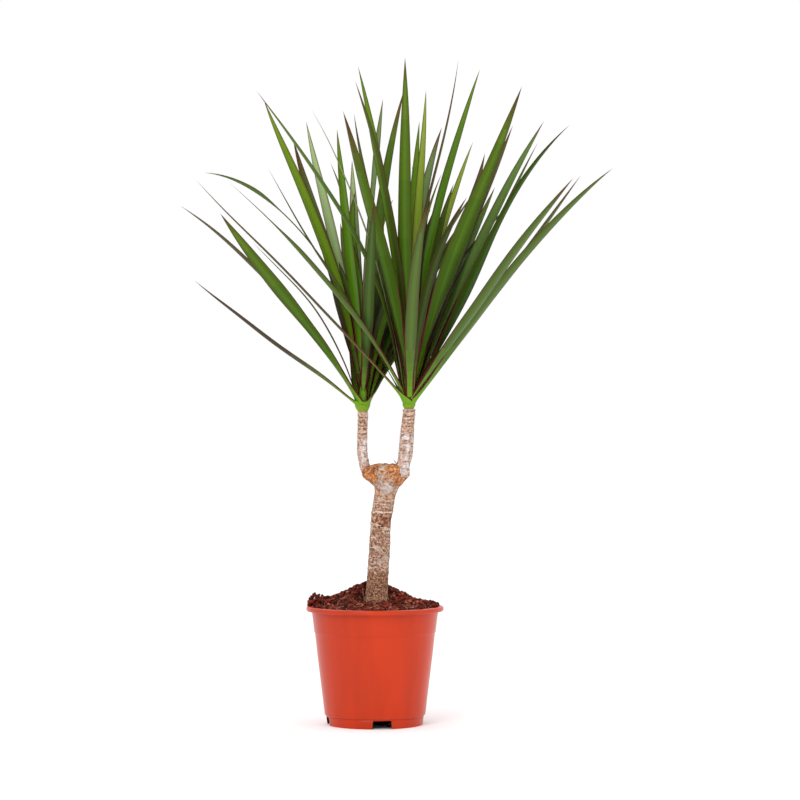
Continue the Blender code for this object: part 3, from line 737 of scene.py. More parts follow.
leafBlade = {
    "columns": (-1.0, -0.7, -0.34, -0.13, 0.0, 0.13, 0.34, 0.7, 1.0),  # between the margins
    "margin": 0.65,  # width of the maroon edge
    "marginLow": 1.5,  # how much wider it is by the base
    "marginSlim": 2.5,  # how fast it narrows from there
    "marginMost": 0.4,  # of half the blade
    "marginEnd": 0.3,  # share of the leaf above which the edge is brown and thin
    "stations": 44,
    "stationCurve": 1.1,  # a little closer together by the base
    "extraWidth": 1.3,  # the solids' blades are that much too narrow
    "taper": 4.2,
    "ribThickness": 0.5,
    "ribFrom": 0.1,  # share of the leaf where the rib has its full thickness
    "ribTaper": 4,
    "edgeThickness": 0.16,
    "foldLeast": 0.36,  # of half its width
    "foldCurve": 1.35,  # 1 is a plain V, 2 a round channel
    "waver": 0.8,  # faint waves along a blade: how high, how much they differ by leaf, how many
    "waverStep": 1.7,
    "waverTurns": 9,
    "wrapEnd": 15.0,  # how far beyond its root a leaf is still curled round the head
    "wrapRise": 0.5,  # of that, how much is upwards
    "wrapShare": 0.8,  # how much of the curl stays there
    # height above the stem's tip, and how far the base's lime has turned into the blade's colour there
    "greening": ((6, 0.2), (9, 0.25), (15, 0.3), (21, 0.4), (28, 0.52), (36, 0.64), (45, 0.76), (56, 0.88),
                 (math.inf, 1)),
    # shares of the way from where the tip's colour starts
    "tipping": ((0.15, 0.12), (0.3, 0.25), (0.45, 0.4), (0.6, 0.55), (0.8, 0.7), (math.inf, 0.9)),
    "paintedBacklight": ((0.42, 0), (0.6, 0.06), (0.78, 0.12), (math.inf, 0.22)),  # how much painted backlight, by share of the leaf
    "farUp": 1000,  # a height where all is blade
}

# Sheaths: the feet of the leaves, curled round the stem, each inside the one below
sheath = {
    "stations": 9,
    "thickness": 0.16,
    "least": 3.0,  # from its foot to its root
    "inset": 0.3,
    "reachLeast": 1.2,
    "turn": math.radians(165),  # half of its turn round the stem, at its foot
    "height": 19.0,  # above its foot, where it has opened
    "opening": 0.9,
    "neckReach": 3.0,  # a neck nearer the axis counts as this far
    "closed": 6,  # the lowest leaves clasp wholly, the next ones less and less
    "opener": 14,
    "swell": 1.0,  # so that they stand flush above the grown-together bases
    "swellRise": (3.0, 5.0),  # from a height, over a length
    "swellFall": (13.0, 8.0),
    "marginFrom": {"left": 10.0, "right": 6.5},  # where the maroon edge starts
    "nestStep": 0.22,  # how far inside the one below it stands
    "frontLag": 16.0,  # leaves in front stand inside those beside them
    "footRoom": 2.2,  # it starts where that much radius is left for it
    "footLow": 0.2,  # the heights where that is looked for
    "footHigh": 16.0,
    "footStep": 0.4,
    "smoothing": (5, 5),  # rounds, and rows to each side, where it turns into the blade
}


def sheathFoot(offset):
    # the lowest height at which a sheath that far inside has room
    height = sheath["footLow"]
    while heartRadius(height) - offset < sheath["footRoom"] and height < sheath["footHigh"]:
        height += sheath["footStep"]
    return height


def columnsOf(half, share=0.0):
    # places across a blade that is half so wide, with a margin of even width at each side
    slim = (1 - smoothstep(share * leafBlade["marginSlim"])) ** 2
    margin = leafBlade["margin"] + leafBlade["marginLow"] * slim
    inner = 1 - min(margin, half * leafBlade["marginMost"]) / half
    return [-1.0] + [column * inner for column in leafBlade["columns"]] + [1.0]


def leafLine(leaf, rank):
    # sections of the whole leaf from its sheath's foot to its tip, each a row of points across
    side, route, width, twist = leaf["side"], leaf["route"], leaf["width"], leaf["twist"]
    base = headTip(side)
    root = route[0] - base
    turn = math.atan2(root.y, root.x)
    offset = sheath["nestStep"] * rank
    foot = min(sheathFoot(offset), root.z - sheath["least"])
    length = (route[2] - route[0]).length
    sideways = bladeFrame(route, width, twist, 0)[2]
    tangent = Vector((-math.sin(turn), math.cos(turn), 0))
    hand = 1 if sideways.dot(tangent) > 0 else -1
    rootReach = math.hypot(root.x, root.y)
    wrapHigh = root.z + leafBlade["wrapEnd"] * leafBlade["wrapRise"]
    neckHalf = (width * leafRule["rootWidth"] + leafBlade["extraWidth"]) / 2
    neckTurn = neckHalf / max(rootReach, sheath["neckReach"])
    clasping = mix(sheath["turn"], neckTurn, smoothstep((rank - sheath["closed"]) / sheath["opener"]))
    opened = min(wrapHigh - foot, sheath["height"])
    middleHeight = (foot + root.z) / 2

    def clasp(height):
        # a level arc round the head's axis
        start, over = sheath["swellRise"]
        end, fading = sheath["swellFall"]
        swell = smoothstep((height - start) / over) * (1 - smoothstep((height - end) / fading))
        reach = heartRadius(height) - sheath["inset"] - offset + sheath["swell"] * swell
        reach = max(reach, sheath["reachLeast"])
        reach = mix(reach, rootReach, smoothstep((height - middleHeight) / (root.z - middleHeight)))
        rise = smoothstep((height - foot) / opened)
        span = mix(clasping, neckTurn, rise ** sheath["opening"])
        angles = [turn + hand * span * column for column in columnsOf(span * reach)]
        return [base + onRing(reach, angle, height) for angle in angles], span * reach

    sections = []
    outward = onRing(1, turn)
    for i in range(sheath["stations"]):
        height = mix(foot, root.z, i / sheath["stations"])
        row, half = clasp(height)
        sections.append((row, -outward, half, height - root.z, 0.0))
    for i in range(leafBlade["stations"]):
        share = (i / leafBlade["stations"]) ** leafBlade["stationCurve"]
        middle, _, sideways, face, half, fold, taper = bladeFrame(route, width, twist, share)
        grown = half / taper + leafBlade["extraWidth"] / 2
        grown *= 1 - share ** leafBlade["taper"]
        least, start, end = leaf["late"]
        grown *= mix(least, leaf["spread"], smoothstep((share - start) / (end - start)))
        fold = max(fold / half, leafBlade["foldLeast"]) * grown
        wave = math.sin(rank * leafBlade["waverStep"] + share * leafBlade["waverTurns"])
        middle = middle + face * leafBlade["waver"] * math.sin(share * math.pi) * wave
        middle = middle + swayOf(route, share, *leaf["sway"])
        row = []
        for column in columnsOf(grown, share):
            lift = fold * abs(column) ** leafBlade["foldCurve"]
            row.append(middle + sideways * grown * column + face * lift)
        away = share * length
        wrap = 1 - smoothstep(away / leafBlade["wrapEnd"])
        if wrap > 0:
            curled, _ = clasp(min(root.z + away * leafBlade["wrapRise"], wrapHigh))
            shift = middle - curled[len(curled) // 2]
            wrap *= leafBlade["wrapShare"]
            row = [point.lerp(other + shift, wrap) for point, other in zip(row, curled)]
        sections.append((row, face, grown, away, share))
    return sections, route[2] + swayOf(route, 1, *leaf["sway"])


def smoothedLine(sections):
    # evens out the bend where the sheath turns into the blade
    rows = [section[0] for section in sections]
    first = sheath["stations"]
    rounds, reach = sheath["smoothing"]
    for _ in range(rounds):
        fresh = [list(row) for row in rows]
        for i in range(max(first - reach, 1), min(first + reach, len(rows) - 1)):
            for j in range(len(rows[i])):
                fresh[i][j] = rows[i][j] * 0.5 + (rows[i - 1][j] + rows[i + 1][j]) * 0.25
        rows = fresh
    return rows


def stepOf(steps, value):
    return next(result for limit, result in steps if value < limit)


def zoneTone(leaf, strip, count, upper, height, share):
    # the finish of one face of a blade
    edge = strip in (0, count - 2)
    if edge and sheath["marginFrom"][leaf["side"]] < height and share < leafBlade["marginEnd"]:
        return marginTone("margin")
    if edge and share > leaf["tipFrom"]:
        return marginTone("marginTip")
    greening = stepOf(leafBlade["greening"], height)
    # how much painted backlight this share of the blade gets
    high = stepOf(leafBlade["paintedBacklight"], share)
    tipping = 0
    if share > leaf["tipFrom"]:
        tipping = stepOf(leafBlade["tipping"], (share - leaf["tipFrom"]) / (1 - leaf["tipFrom"]))
    band = "blade"
    if greening == 1 and tipping == 0:
        if edge:
            band = "edge"
        elif strip in (1, count - 3):
            band = "outer"
        elif not upper and abs(strip - count // 2 + 0.5) < 2:
            band = "rib"
    return leafTone(leaf["tint"], band, greening, tipping, high)


def addLeaf(builder, leaf, rank):
    # a thin closed blade: upper face, underside and the finishes of their zones
    sections, tip = leafLine(leaf, rank)
    rows = smoothedLine(sections)
    count = len(rows[0])
    level = headTip(leaf["side"]).z
    points, places = [], []
    for (_, face, half, away, share), row in zip(sections, rows):
        rib = mix(sheath["thickness"], leafBlade["ribThickness"], smoothstep(share / leafBlade["ribFrom"]))
        for i in range(count):
            column = abs(i - count // 2) / (count // 2)
            thick = mix(rib, min(leafBlade["edgeThickness"], rib), column)
            thick = thick * (1 - share ** leafBlade["ribTaper"]) / 2
            normal = face
            if 0 < i < count - 1:
                chord = row[i + 1] - row[i - 1]
                normal = face - chord * (face.dot(chord) / max(chord.length_squared, 1e-6))
                normal.normalize()
            points += [row[i] + normal * thick, row[i] - normal * thick]
            places += [((i / (count - 1) * 2 - 1) * half * mm, away * mm)] * 2
    points.append(tip)
    places.append((0.0, sections[-1][3] * mm))
    last = len(points) - 1
    faces, slots = [], []
    for row in range(len(sections) - 1):
        share = sections[row][4]
        height = rows[row][count // 2].z - level
        low, high = row * count * 2, (row + 1) * count * 2
        for i in range(count - 1):
            a, b, c, d = low + i * 2, low + i * 2 + 2, high + i * 2 + 2, high + i * 2
            faces += [(a, d, c, b), (a + 1, b + 1, c + 1, d + 1)]
            for upper in (True, False):
                slots.append(builder.slotOf(zoneTone(leaf, i, count, upper, height, share)))
        for i, flip in ((0, False), (count - 1, True)):
            a, b, c, d = low + i * 2, low + i * 2 + 1, high + i * 2 + 1, high + i * 2
            faces.append((a, d, c, b) if flip else (a, b, c, d))
            slots.append(builder.slotOf(zoneTone(leaf, 0, count, True, height, share)))
    end = (len(sections) - 1) * count * 2
    for i in range(count - 1):
        faces += [(end + i * 2, last, end + i * 2 + 2), (end + i * 2 + 1, end + i * 2 + 3, last)]
    faces += [(end, end + 1, last), (end + count * 2 - 2, last, end + count * 2 - 1)]
    tipSlot = builder.slotOf(zoneTone(leaf, 1, count, True, leafBlade["farUp"], 1))
    slots += [tipSlot] * (count * 2)
    faces.append(tuple(range(0, count * 2, 2)) + tuple(range(count * 2 - 1, 0, -2)))
    slots.append(builder.slotOf(leafTone("mid", "blade", 0.0, 0)))
    builder.add(points, faces, slots, places)


def nestKey(leaf):
    # lower leaves clasp the ones above, and those beside clasp the ones in front
    root = leaf["route"][0] - headTip(leaf["side"])
    toward = max(-root.y / math.hypot(root.x, root.y), 0)
    return root.z + sheath["frontLag"] * toward ** 2


def makeHeads():
    leaves = growHeads()
    for side in measuredLeaves:
        builder = MeshBuilder(side + "_head_leaves")
        own = [leaf for leaf in leaves if leaf["side"] == side]
        own.sort(key=nestKey)
        for rank, leaf in enumerate(own):
            addLeaf(builder, leaf, rank)
        nodes = [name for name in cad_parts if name.startswith((side + "_leaf", side + "_heart"))]
        solids = sum(not leaf["fused"] and not leaf["fine"] for leaf in own)
        print(side, "head:", len(own), "leaves,", solids, "outer ones for", len(nodes) - 1, "nodes")
        builder.build("leaf_blades", *nodes)
        makeCore(side)


# Stem tip inside each head, and the collar round its foot
headCore = {
    "sides": 24,
    "heights": (0.1, 3, 7, 12, 18, 23, 27, 30),
    "inset": 3.4,  # inside the clump of leaf bases
    "slope": 0.16,
    "least": 0.6,
    "greening": 0.46,  # how far its lime has turned into the blades' colour: a darker green as painted shade inside the head
    "collarSides": 64,
    "collar": {"left": 7.5, "right": 5.0},  # how high it is
    "collarWave": 0.1,
    "collarLow": (0.12, 0.3),  # its least height, and that for its radius
    # share of its height, and how far it stands out there
    "collarRows": ((0.0, -0.5), (0.05, -0.1), (0.22, 0.0), (0.4, 0.0), (0.55, 0.0), (0.7, 0.0),
                   (0.85, -0.15), (1.0, -0.7), (1.04, -1.8), (1.0, -3.0)),
    "collarTones": (0.0, 0.0, 0.05, 0.1, 0.14, 0.18, 0.2, 0.2, 0.2, 0.2),  # from its foot up
    "lobe": {"left": 0.9, "right": 0.2},  # how far it bulges on its left
    "lobeArc": 0.8,
}


def makeCore(side):
    # the stem tip that the sheaths stand round, a darker green than the pale leaf bases as painted shade
    builder = MeshBuilder(side + "_head_core")
    base = headTip(side)
    sides, heights = headCore["sides"], headCore["heights"]
    points = []
    for height in heights:
        radius = max(heartRadius(height) - headCore["inset"] - headCore["slope"] * height, headCore["least"])
        points += [base + onRing(radius, angle, height) for angle in evenTurns(sides)]
    faces = tubeFaces(len(heights), sides)
    # painted shade: darker than the lime collar and leaf bases
    slot = builder.slotOf(leafTone("mid", "blade", headCore["greening"], 0))
    builder.add(points, faces, [slot] * len(faces))
    addCollar(builder, side)
    builder.build("leaf_blades")


def addCollar(builder, side):
    # where the feet of the lowest leaves have grown together round the stem
    base = headTip(side)
    sides, top = headCore["collarSides"], headCore["collar"][side]
    lowest, radiusFrom = headCore["collarLow"]
    rings = len(headCore["collarRows"])
    points, faces, slots = [], [], []
    for r, (share, out) in enumerate(headCore["collarRows"]):
        arch = math.sin(min(share, 1) * math.pi * headCore["lobeArc"])
        for angle in evenTurns(sides):
            wave = 1 + headCore["collarWave"] * math.sin(2 * angle + 1) * share
            level = max(share * top * wave, lowest)
            reach = heartRadius(max(level, radiusFrom)) + out
            reach += headCore["lobe"][side] * max(-math.cos(angle), 0) ** 2 * arch
            points.append(base + onRing(reach, angle, level))
        faces += bandFaces(r * sides, (r + 1) % rings * sides, sides)
        slots += [builder.slotOf(leafTone("mid", "blade", headCore["collarTones"][r], 0))] * sides
    builder.add(points, faces, slots)


# Trunk: height, middle across, half width, half depth, as the solid has them but for a slimmer foot
trunkShape = {
    "rows": (
        (120.0, 1.6, 12.2, 12.0), (124.3, 1.8, 11.7, 11.6), (127.0, 1.9, 11.3, 11.2),
        (133.0, 2.0, 10.9, 10.8), (162.0, 3.6, 10.5, 10.5), (182.0, 4.8, 10.3, 10.3),
        (196.0, 5.4, 10.0, 10.0), (213.0, 7.3, 10.4, 10.2), (229.0, 9.9, 10.8, 10.6),
        (235.0, 11.4, 11.8, 11.4), (239.0, 12.0, 14.0, 12.4), (244.0, 11.0, 19.6, 13.4),
        (249.0, 10.6, 23.2, 14.0), (254.0, 11.0, 23.4, 13.6), (257.5, 11.4, 20.4, 12.0),
        (259.4, 11.4, 14.0, 8.6),
    ),
    "step": 0.5,
    "sides": 136,
    "zones": ((152.0, "lowBark"), (197.0, "netBark"), (210.0, "blotchBark"), (220.0, "netBark"),
              (400.0, "upperBark")),
    "borderSize": 4.0,  # how unevenly one zone ends
    "borderWander": 5,
    "relief": ((2.4, 0.4), (0.9, 0.18)),  # the size of its lumps, and how far they stand out
    "patchSize": 7.0,  # grey patches
    "patchFrom": 0.36,
    # leaf scars: height, tilt, how far the ridge stands out, its half width, and how much of it is pale
    "scars": ((223.0, 0.10, 0.15, 0.5, 0.1), (219.6, -0.16, 0.3, 0.7, 0.0), (211.8, 0.05, 1.0, 1.1, 0.5),
              (197.3, -0.3, 0.5, 1.5, 0.2), (186.0, -0.1, 0.25, 0.6, -0.1), (178.0, 0.12, 0.25, 0.6, -0.1),
              (168.0, -0.05, 0.2, 0.6, -0.1), (156.5, 0.05, 0.3, 0.8, 0.0), (140.0, 0.07, 0.15, 0.5, -0.6)),
    "scarMiddle": 6,  # across, where a tilted scar has its own height
    "scarWander": 1.1,
    "scarReach": 4,  # in half widths
    "scarPale": 0.8,
    "scarRagged": ((1.5, 0.5),),
    "scarPatch": 4.0,
    "scarMore": 0.15,
    # a net of raised lines, and the pale lines of a wider net
    "netCell": 3.0,
    "netStretch": 1.2,  # its meshes are wider than high
    "netSharp": 1.6,
    "netDepth": 0.3,
    "netLineCell": 4.2,
    "netLineStretch": 1.15,
    "netLineSize": 5.0,  # of the patches where they show
    "netLineWidth": 0.13,
    "netLineRise": 0.25,
    "netLineFrom": -0.12,
    # a bud's scar in front: its place, its reach and how far it stands out
    "knob": (11.5, -11.0, 236.0),
    "knobReach": 6.0,
    "knobLift": 2.4,
    "knobEnd": 1.6,  # of its reach, as is where it is grey and where it is smooth
    "knobGrey": 1.25,
    "knobSmooth": 0.75,
    "knobRagged": ((3.0, 0.5),),
    "knobCalm": 0.8,  # how much relief it keeps
    # the cut top is domed and lumpy
    "topFade": 1.5,  # how far below it the bark's relief ends
    "topInsets": (0.85, 0.65, 0.45, 0.25, 0.08),
    "topRelief": ((4.0, 1.6), (1.8, 0.5)),
    "topDome": 1.2,
}

# Burr: the swollen cork below the cut, greyer along a seam in front
burrCork = {
    "from": 238.0,  # height where it starts
    "relief": ((6.0, 1.1), (2.6, 0.9), (1.2, 0.4)),
    "splitCell": 2.2,  # between its splits
    "splitRise": 0.4,
    "shadeUnder": -0.16,  # noise below which it is weathered, and that on the cut
    "topShadeUnder": -0.1,
    "shadeSize": 3.2,
    "topShadeSize": 3.0,
    "shadePatches": 0.5,
    "seamAcross": 8.5,
    "seamWander": ((5.0, 3.0),),
    "seamHalf": 9.5,  # half its width at seamHeight; each mm above takes seamTaper off
    "seamHeight": 240,
    "seamTaper": 0.3,
    "seamRelief": 0.6,  # of the cork's
    "seamGap": (3.0, 0.3),  # size of its gaps, and the noise above which they lie
    "seamGrey": 0.15,
}


def spotted(material, cell, spotColour, stops, stretch):
    # dark spots about cell mm apart over the colour that is there, as pores and old leaf traces make
    tree = material.node_tree
    surface = tree.nodes["Principled BSDF"].inputs["Base Color"]
    under = surface.links[0].from_socket
    place = placeOn(tree, stretch)
    scale = 1 / (cell * mm)
    wander = addNode(tree, "ShaderNodeTexNoise", {"Scale": scale * 0.8, "Detail": 2.0}, {"Vector": place})
    settings = {"operation": "MULTIPLY_ADD", 1: (0.8 * cell * mm,) * 3}
    moved = addNode(tree, "ShaderNodeVectorMath", settings, {0: wander.outputs["Color"], 2: place})
    cells = addNode(tree, "ShaderNodeTexVoronoi", {"Scale": scale}, {"Vector": moved.outputs[0]})
    ramp = addNode(tree, "ShaderNodeValToRGB", links={"Fac": cells.outputs["Distance"]})
    setStops(ramp, [(position, (value, value, value, 1)) for position, value in stops])
    layer = addNode(tree, "ShaderNodeMix", {"data_type": "RGBA", 6: linear(spotColour)},
                    {0: ramp.outputs["Color"], 7: under})
    tree.links.new(layer.outputs[2], surface)


# Bark: its roughness, where its four tones start, and the size of its fine grain
barkGrain = {"roughness": 0.86, "stops": (0.3, 0.44, 0.56, 0.72), "detail": 7.0, "grain": 0.8}


def barkFinish(name, tones, patch, depth):
    # dry, matt bark with a fine grain: patches of four tones, darkest first
    b = barkGrain
    material = plainFinish(name, tones[1], b["roughness"])
    patchy(material, patch, list(zip(b["stops"], tones)), b["detail"])
    return grained(material, b["grain"], depth)


# Bark finishes: name, four tones, the patches' size and the depth of the grain
barkFinishes = {
    # weathered bark speckled with tan and brown a millimetre or two across
    "upperBark": ("weatheredBeigeBark", ("#5C3826", "#946850", "#B48A6E", "#CEB09A"), 2.8, 0.2),
    "netBark": ("nettedBrownBark", ("#4A281C", "#7C5442", "#9E765E", "#C2A48E"), 2.4, 0.25),
    "blotchBark": ("blotchedBark", ("#34160E", "#6A3E2A", "#9C6C50", "#C8A284"), 3.0, 0.25),
    "lowBark": ("mottledFootBark", ("#3A1C12", "#6E4432", "#9C7256", "#C8A484"), 1.7, 0.25),
    "netLine": ("paleBarkNet", ("#8A6A56", "#AE9280", "#C2AC9A", "#D2C4B6"), 2.0, 0.15),
    "grey": ("greyCorkyBark", ("#705444", "#9A8070", "#B29C8E", "#CABCB0"), 2.4, 0.2),
    "smoothScar": ("smoothBudScar", ("#84685A", "#A6948A", "#BAACA4", "#D2CAC4"), 3.0, 0.1),
    "scar": ("paleLeafScar", ("#8E6E56", "#B49A84", "#C8B6A4", "#DAD0C4"), 2.0, 0.15),
    # the burr's cork, orange where it has split, brown where it has weathered
    "cork": ("splitOrangeCork", ("#5E2E18", "#A05E30", "#C0824E", "#D8A67C"), 2.1, 0.4),
    "corkShade": ("weatheredCork", ("#3E1A14", "#7A442A", "#9E6844", "#BA8A66"), 2.1, 0.4),
    # young bark is pinker and smoother, with a waxy bloom in patches
    "young": ("youngPinkBark", ("#7C584A", "#A88A7C", "#C0A498", "#D6C6BE"), 2.6, 0.12),
    "youngTop": ("youngBrownBark", ("#664838", "#A07E6A", "#BC9C88", "#D4C0B2"), 2.4, 0.15),
    "youngShade": ("ringScarShade", ("#3A2418", "#64442F", "#805E48", "#A08068"), 1.8, 0.1),
    "wax": ("whiteBarkBloom", ("#9C8C84", "#BAB0AC", "#CCC8C6", "#DAD8DA"), 2.4, 0.06),
}
barkMaterials = {kind: barkFinish(*finish) for kind, finish in barkFinishes.items()}
# dark pores: how far apart they are, their colour, how dark to how far out, and their stretch
spotted(barkMaterials["netBark"], 3.0, "#4E3224", ((0.1, 0.15), (0.42, 1.0)), (1, 1, 1.3))
spotted(barkMaterials["lowBark"], 2.1, "#38200F", ((0.12, 0.1), (0.4, 1.0)), (1, 1, 0.8))


def netValue(point, cell):
    # 0 on the lines of an uneven net, 1 in the middle of its meshes
    distances, _ = noise.voronoi(point / cell)
    return min((distances[1] - distances[0]) * trunkShape["netSharp"], 1)


def corkSurface(point, patches):
    # how far the burr's cork stands out here, and which finish it has
    cork = burrCork
    lumps = relief(point, cork["relief"])
    seam = abs(point.x - cork["seamAcross"] - relief(point, cork["seamWander"]))
    half = cork["seamHalf"] - cork["seamTaper"] * (point.z - cork["seamHeight"])
    gapSize, gapFrom = cork["seamGap"]
    if point.y < 0 and seam < half and noise.noise(point / gapSize) < gapFrom:
        return lumps * cork["seamRelief"], "grey" if patches < cork["seamGrey"] else "upperBark"
    shade = noise.noise(point / cork["shadeSize"]) + cork["shadePatches"] * patches
    shaded = shade < cork["shadeUnder"]
    return lumps + cork["splitRise"] * netValue(point, cork["splitCell"]), "corkShade" if shaded else "cork"


def trunkSurface(x, y, z, angle):
    # how far the bark stands out here, and which finish it has
    t = trunkShape
    point = Vector((x, y, z))
    rough = relief(point, t["relief"])
    patches = noise.noise(point / t["patchSize"] + Vector((3, 1, 8)))
    if z > burrCork["from"] + t["borderWander"] * patches:
        return corkSurface(point, patches)
    edge = z + t["borderWander"] * noise.noise(point / t["borderSize"])
    finishName = next(name for top, name in t["zones"] if edge < top)
    net = netValue(Vector((x, y, z * t["netStretch"])), t["netCell"])
    lift = rough - t["netDepth"] * smoothstep(net)
    if patches > t["patchFrom"] and finishName != "lowBark":
        finishName = "grey"
    spot = Vector((x, y, z * t["netLineStretch"])) + Vector((1, 0, 2)) * rough
    lined = noise.noise(point / t["netLineSize"] + Vector((9, 0, 0))) > t["netLineFrom"]
    if finishName == "netBark" and lined and netValue(spot, t["netLineCell"]) < t["netLineWidth"]:
        finishName = "netLine"
        lift += t["netLineRise"]
    for height, tilt, ridge, half, pale in t["scars"]:
        wander = t["scarWander"] * noise.noise(onRing(1, angle, height))
        level = height + tilt * (x - t["scarMiddle"]) + wander
        away = (z - level) / half
        if abs(away) > t["scarReach"]:
            continue
        lift += ridge * math.exp(-away * away)
        bare = abs(away) < t["scarPale"] + relief(point, t["scarRagged"])
        if bare and noise.noise(point / t["scarPatch"]) < pale + t["scarMore"]:
            finishName = "scar"
    return lift, finishName


def addTube(builder, rings, finishNames):
    # a closed tube through rings of points, with a finish name for each point of a ring
    named = [name for names in finishNames[:-1] for name in names] + [finishNames[0][0], finishNames[-1][0]]
    slots = [builder.slotOf(barkMaterials[name]) for name in named]
    points = [point for ring in rings for point in ring]
    builder.add(points, tubeFaces(len(rings), len(rings[0])), slots)


def makeTrunk():
    t = trunkShape
    sides = t["sides"]
    low, high = t["rows"][0][0], t["rows"][-1][0]
    count = int((high - low) / t["step"])
    rings, names = [], []
    for r in range(count + 1):
        z = mix(low, high, r / count)
        _, across, halfWidth, halfDepth = alongRows(t["rows"], z)
        ring, ringNames = [], []
        for angle in evenTurns(sides):
            out = onRing(1, angle)
            x, y = across + halfWidth * out.x, halfDepth * out.y
            lift, finishName = trunkSurface(x, y, z, angle)
            near = math.dist((x, y, z), t["knob"]) / t["knobReach"]
            if near < t["knobEnd"]:
                lift += t["knobLift"] * math.exp(-near ** 4)
                spread = near + relief(Vector((x, y, z)), t["knobRagged"])
                if spread < t["knobGrey"]:
                    finishName = "smoothScar" if spread < t["knobSmooth"] else "grey"
                    lift *= t["knobCalm"]
            fade = smoothstep((high - z) / t["topFade"])
            ring.append(Vector((x, y, z)) + out * (lift * fade))
            ringNames.append(finishName)
        rings.append(ring)
        names.append(ringNames)
    top = rings[-1]
    middle = sum(top, Vector()) / sides
    for inset in t["topInsets"]:
        ring, ringNames = [], []
        for point in top:
            spot = middle.lerp(point, inset)
            lump = relief(spot, t["topRelief"]) + t["topDome"] * (1 - inset)
            ring.append(spot + Vector((0, 0, lump)))
            shaded = noise.noise(spot / burrCork["topShadeSize"]) < burrCork["topShadeUnder"]
            ringNames.append("corkShade" if shaded else "cork")
        rings.append(ring)
        names.append(ringNames)
    builder = MeshBuilder("trunk_bark")
    addTube(builder, rings, names)
    builder.build("trunk_bark", "trunk")


# Boughs: middle across, depth, height and radius up each limb, as the solids have them but for
# their feet, which run flush into the burr
boughShape = {
    "left": (
        (-6.0, 3.0, 247.5, 5.4), (-8.8, 3.8, 253.0, 5.2), (-10.6, 4.6, 259.0, 5.1),
        (-12.6, 6.0, 269.0, 4.9), (-12.9, 7.0, 280.0, 4.8), (-12.6, 7.5, 296.0, 4.7),
        (-12.2, 8.0, 308.0, 4.9), (-12.2, 8.0, 312.0, 4.9),
    ),
    "right": (
        (25.4, -3.0, 247.0, 7.6), (27.0, -3.8, 253.0, 7.1), (28.5, -4.5, 260.0, 6.7),
        (30.2, -5.2, 267.0, 7.1), (31.6, -6.0, 284.0, 7.1), (32.8, -6.5, 300.0, 6.5),
        (34.0, -7.0, 311.0, 6.2), (34.0, -7.0, 315.0, 6.1),
    ),
}
boughBark = {
    "step": 0.45,
    "sides": 76,
    "seed": {"left": 7, "right": 12},
    "relief": ((2.6, 0.3), (0.9, 0.12)),
    "swell": {"left": 0.3, "right": 0.0},
    "topGap": 0.05,  # below the head
    "topBark": 24.0,  # below the head, where the bark is still brown
    "topRagged": ((4.0, 5),),
    # ring scars of old leaves: grooves, each with a lip above it
    "scarFrom": 3,  # above the bough's foot
    "scarEnd": 0.8,  # below its top
    "scarSpacing": (4.3, 3.8),  # nearer the head, further down
    "scarUneven": (0.7, 1.3),
    "scarTilt": 0.14,
    "scarStrength": (0.7, 1.0),
    "scarFaded": (45, 0.35),  # how far down, and how much of it is left there
    "scarDepth": 0.5,
    "scarHalf": 0.55,
    "scarReach": 5,  # in half widths
    "lipRise": 0.3,
    "lipPlace": 1.7,
    "scarRagged": ((3.5, 0.6),),
    "scarGap": (3.0, 0.12, 0.4),  # where a dark line breaks off, less so on a strong one
    "scarDark": (0.55, 0.6),  # its half width, and more on a strong one
    # white bloom in front: across, height, half width, half height
    "bloom": {
        "left": ((-11.6, 275, 2.6, 2.3), (-11.0, 264, 2.2, 2.3), (-10.8, 282, 2.6, 1.4)),
        "right": ((30.5, 286, 3.4, 2.2), (32.8, 276.5, 2.4, 4.0), (31.5, 266, 1.7, 3.2),
                  (31, 257.2, 3.8, 1.7), (27, 252, 4.2, 3.2)),
    },
    "bloomAbove": 0.46,  # and elsewhere by noise
    "bloomPatch": 5.0,
    "bloomRise": 0.12,
    "bloomRagged": ((1.6, 0.5),),
}


def bloomHere(side, point):
    # whether the white bloom covers this place
    waver = relief(point, boughBark["bloomRagged"])
    for across, height, halfWidth, halfHeight in boughBark["bloom"][side]:
        away = ((point.x - across) / halfWidth) ** 2 + ((point.z - height) / halfHeight) ** 2
        if point.y < boughShape[side][4][1] and away < 1 + waver * 2:
            return True
    low = point.z < boughShape[side][-1][2] - boughBark["topBark"]
    return low and noise.noise(point / boughBark["bloomPatch"] + Vector((0, 5, 2))) > boughBark["bloomAbove"]


def ringScars(side, low, high):
    # height, tilt, turn and strength of each scar up a bough
    b = boughBark
    rng = random.Random(b["seed"][side])
    reach, faded = b["scarFaded"]
    scars = []
    z = low + b["scarFrom"]
    while z < high - b["scarEnd"]:
        near = smoothstep((high - z) / reach)
        tilt = rng.uniform(-b["scarTilt"], b["scarTilt"])
        turn = rng.uniform(0, anyTurn)
        scars.append((z, tilt, turn, rng.uniform(*b["scarStrength"]) * mix(1, faded, near)))
        z += mix(*b["scarSpacing"], near) * rng.uniform(*b["scarUneven"])
    return scars


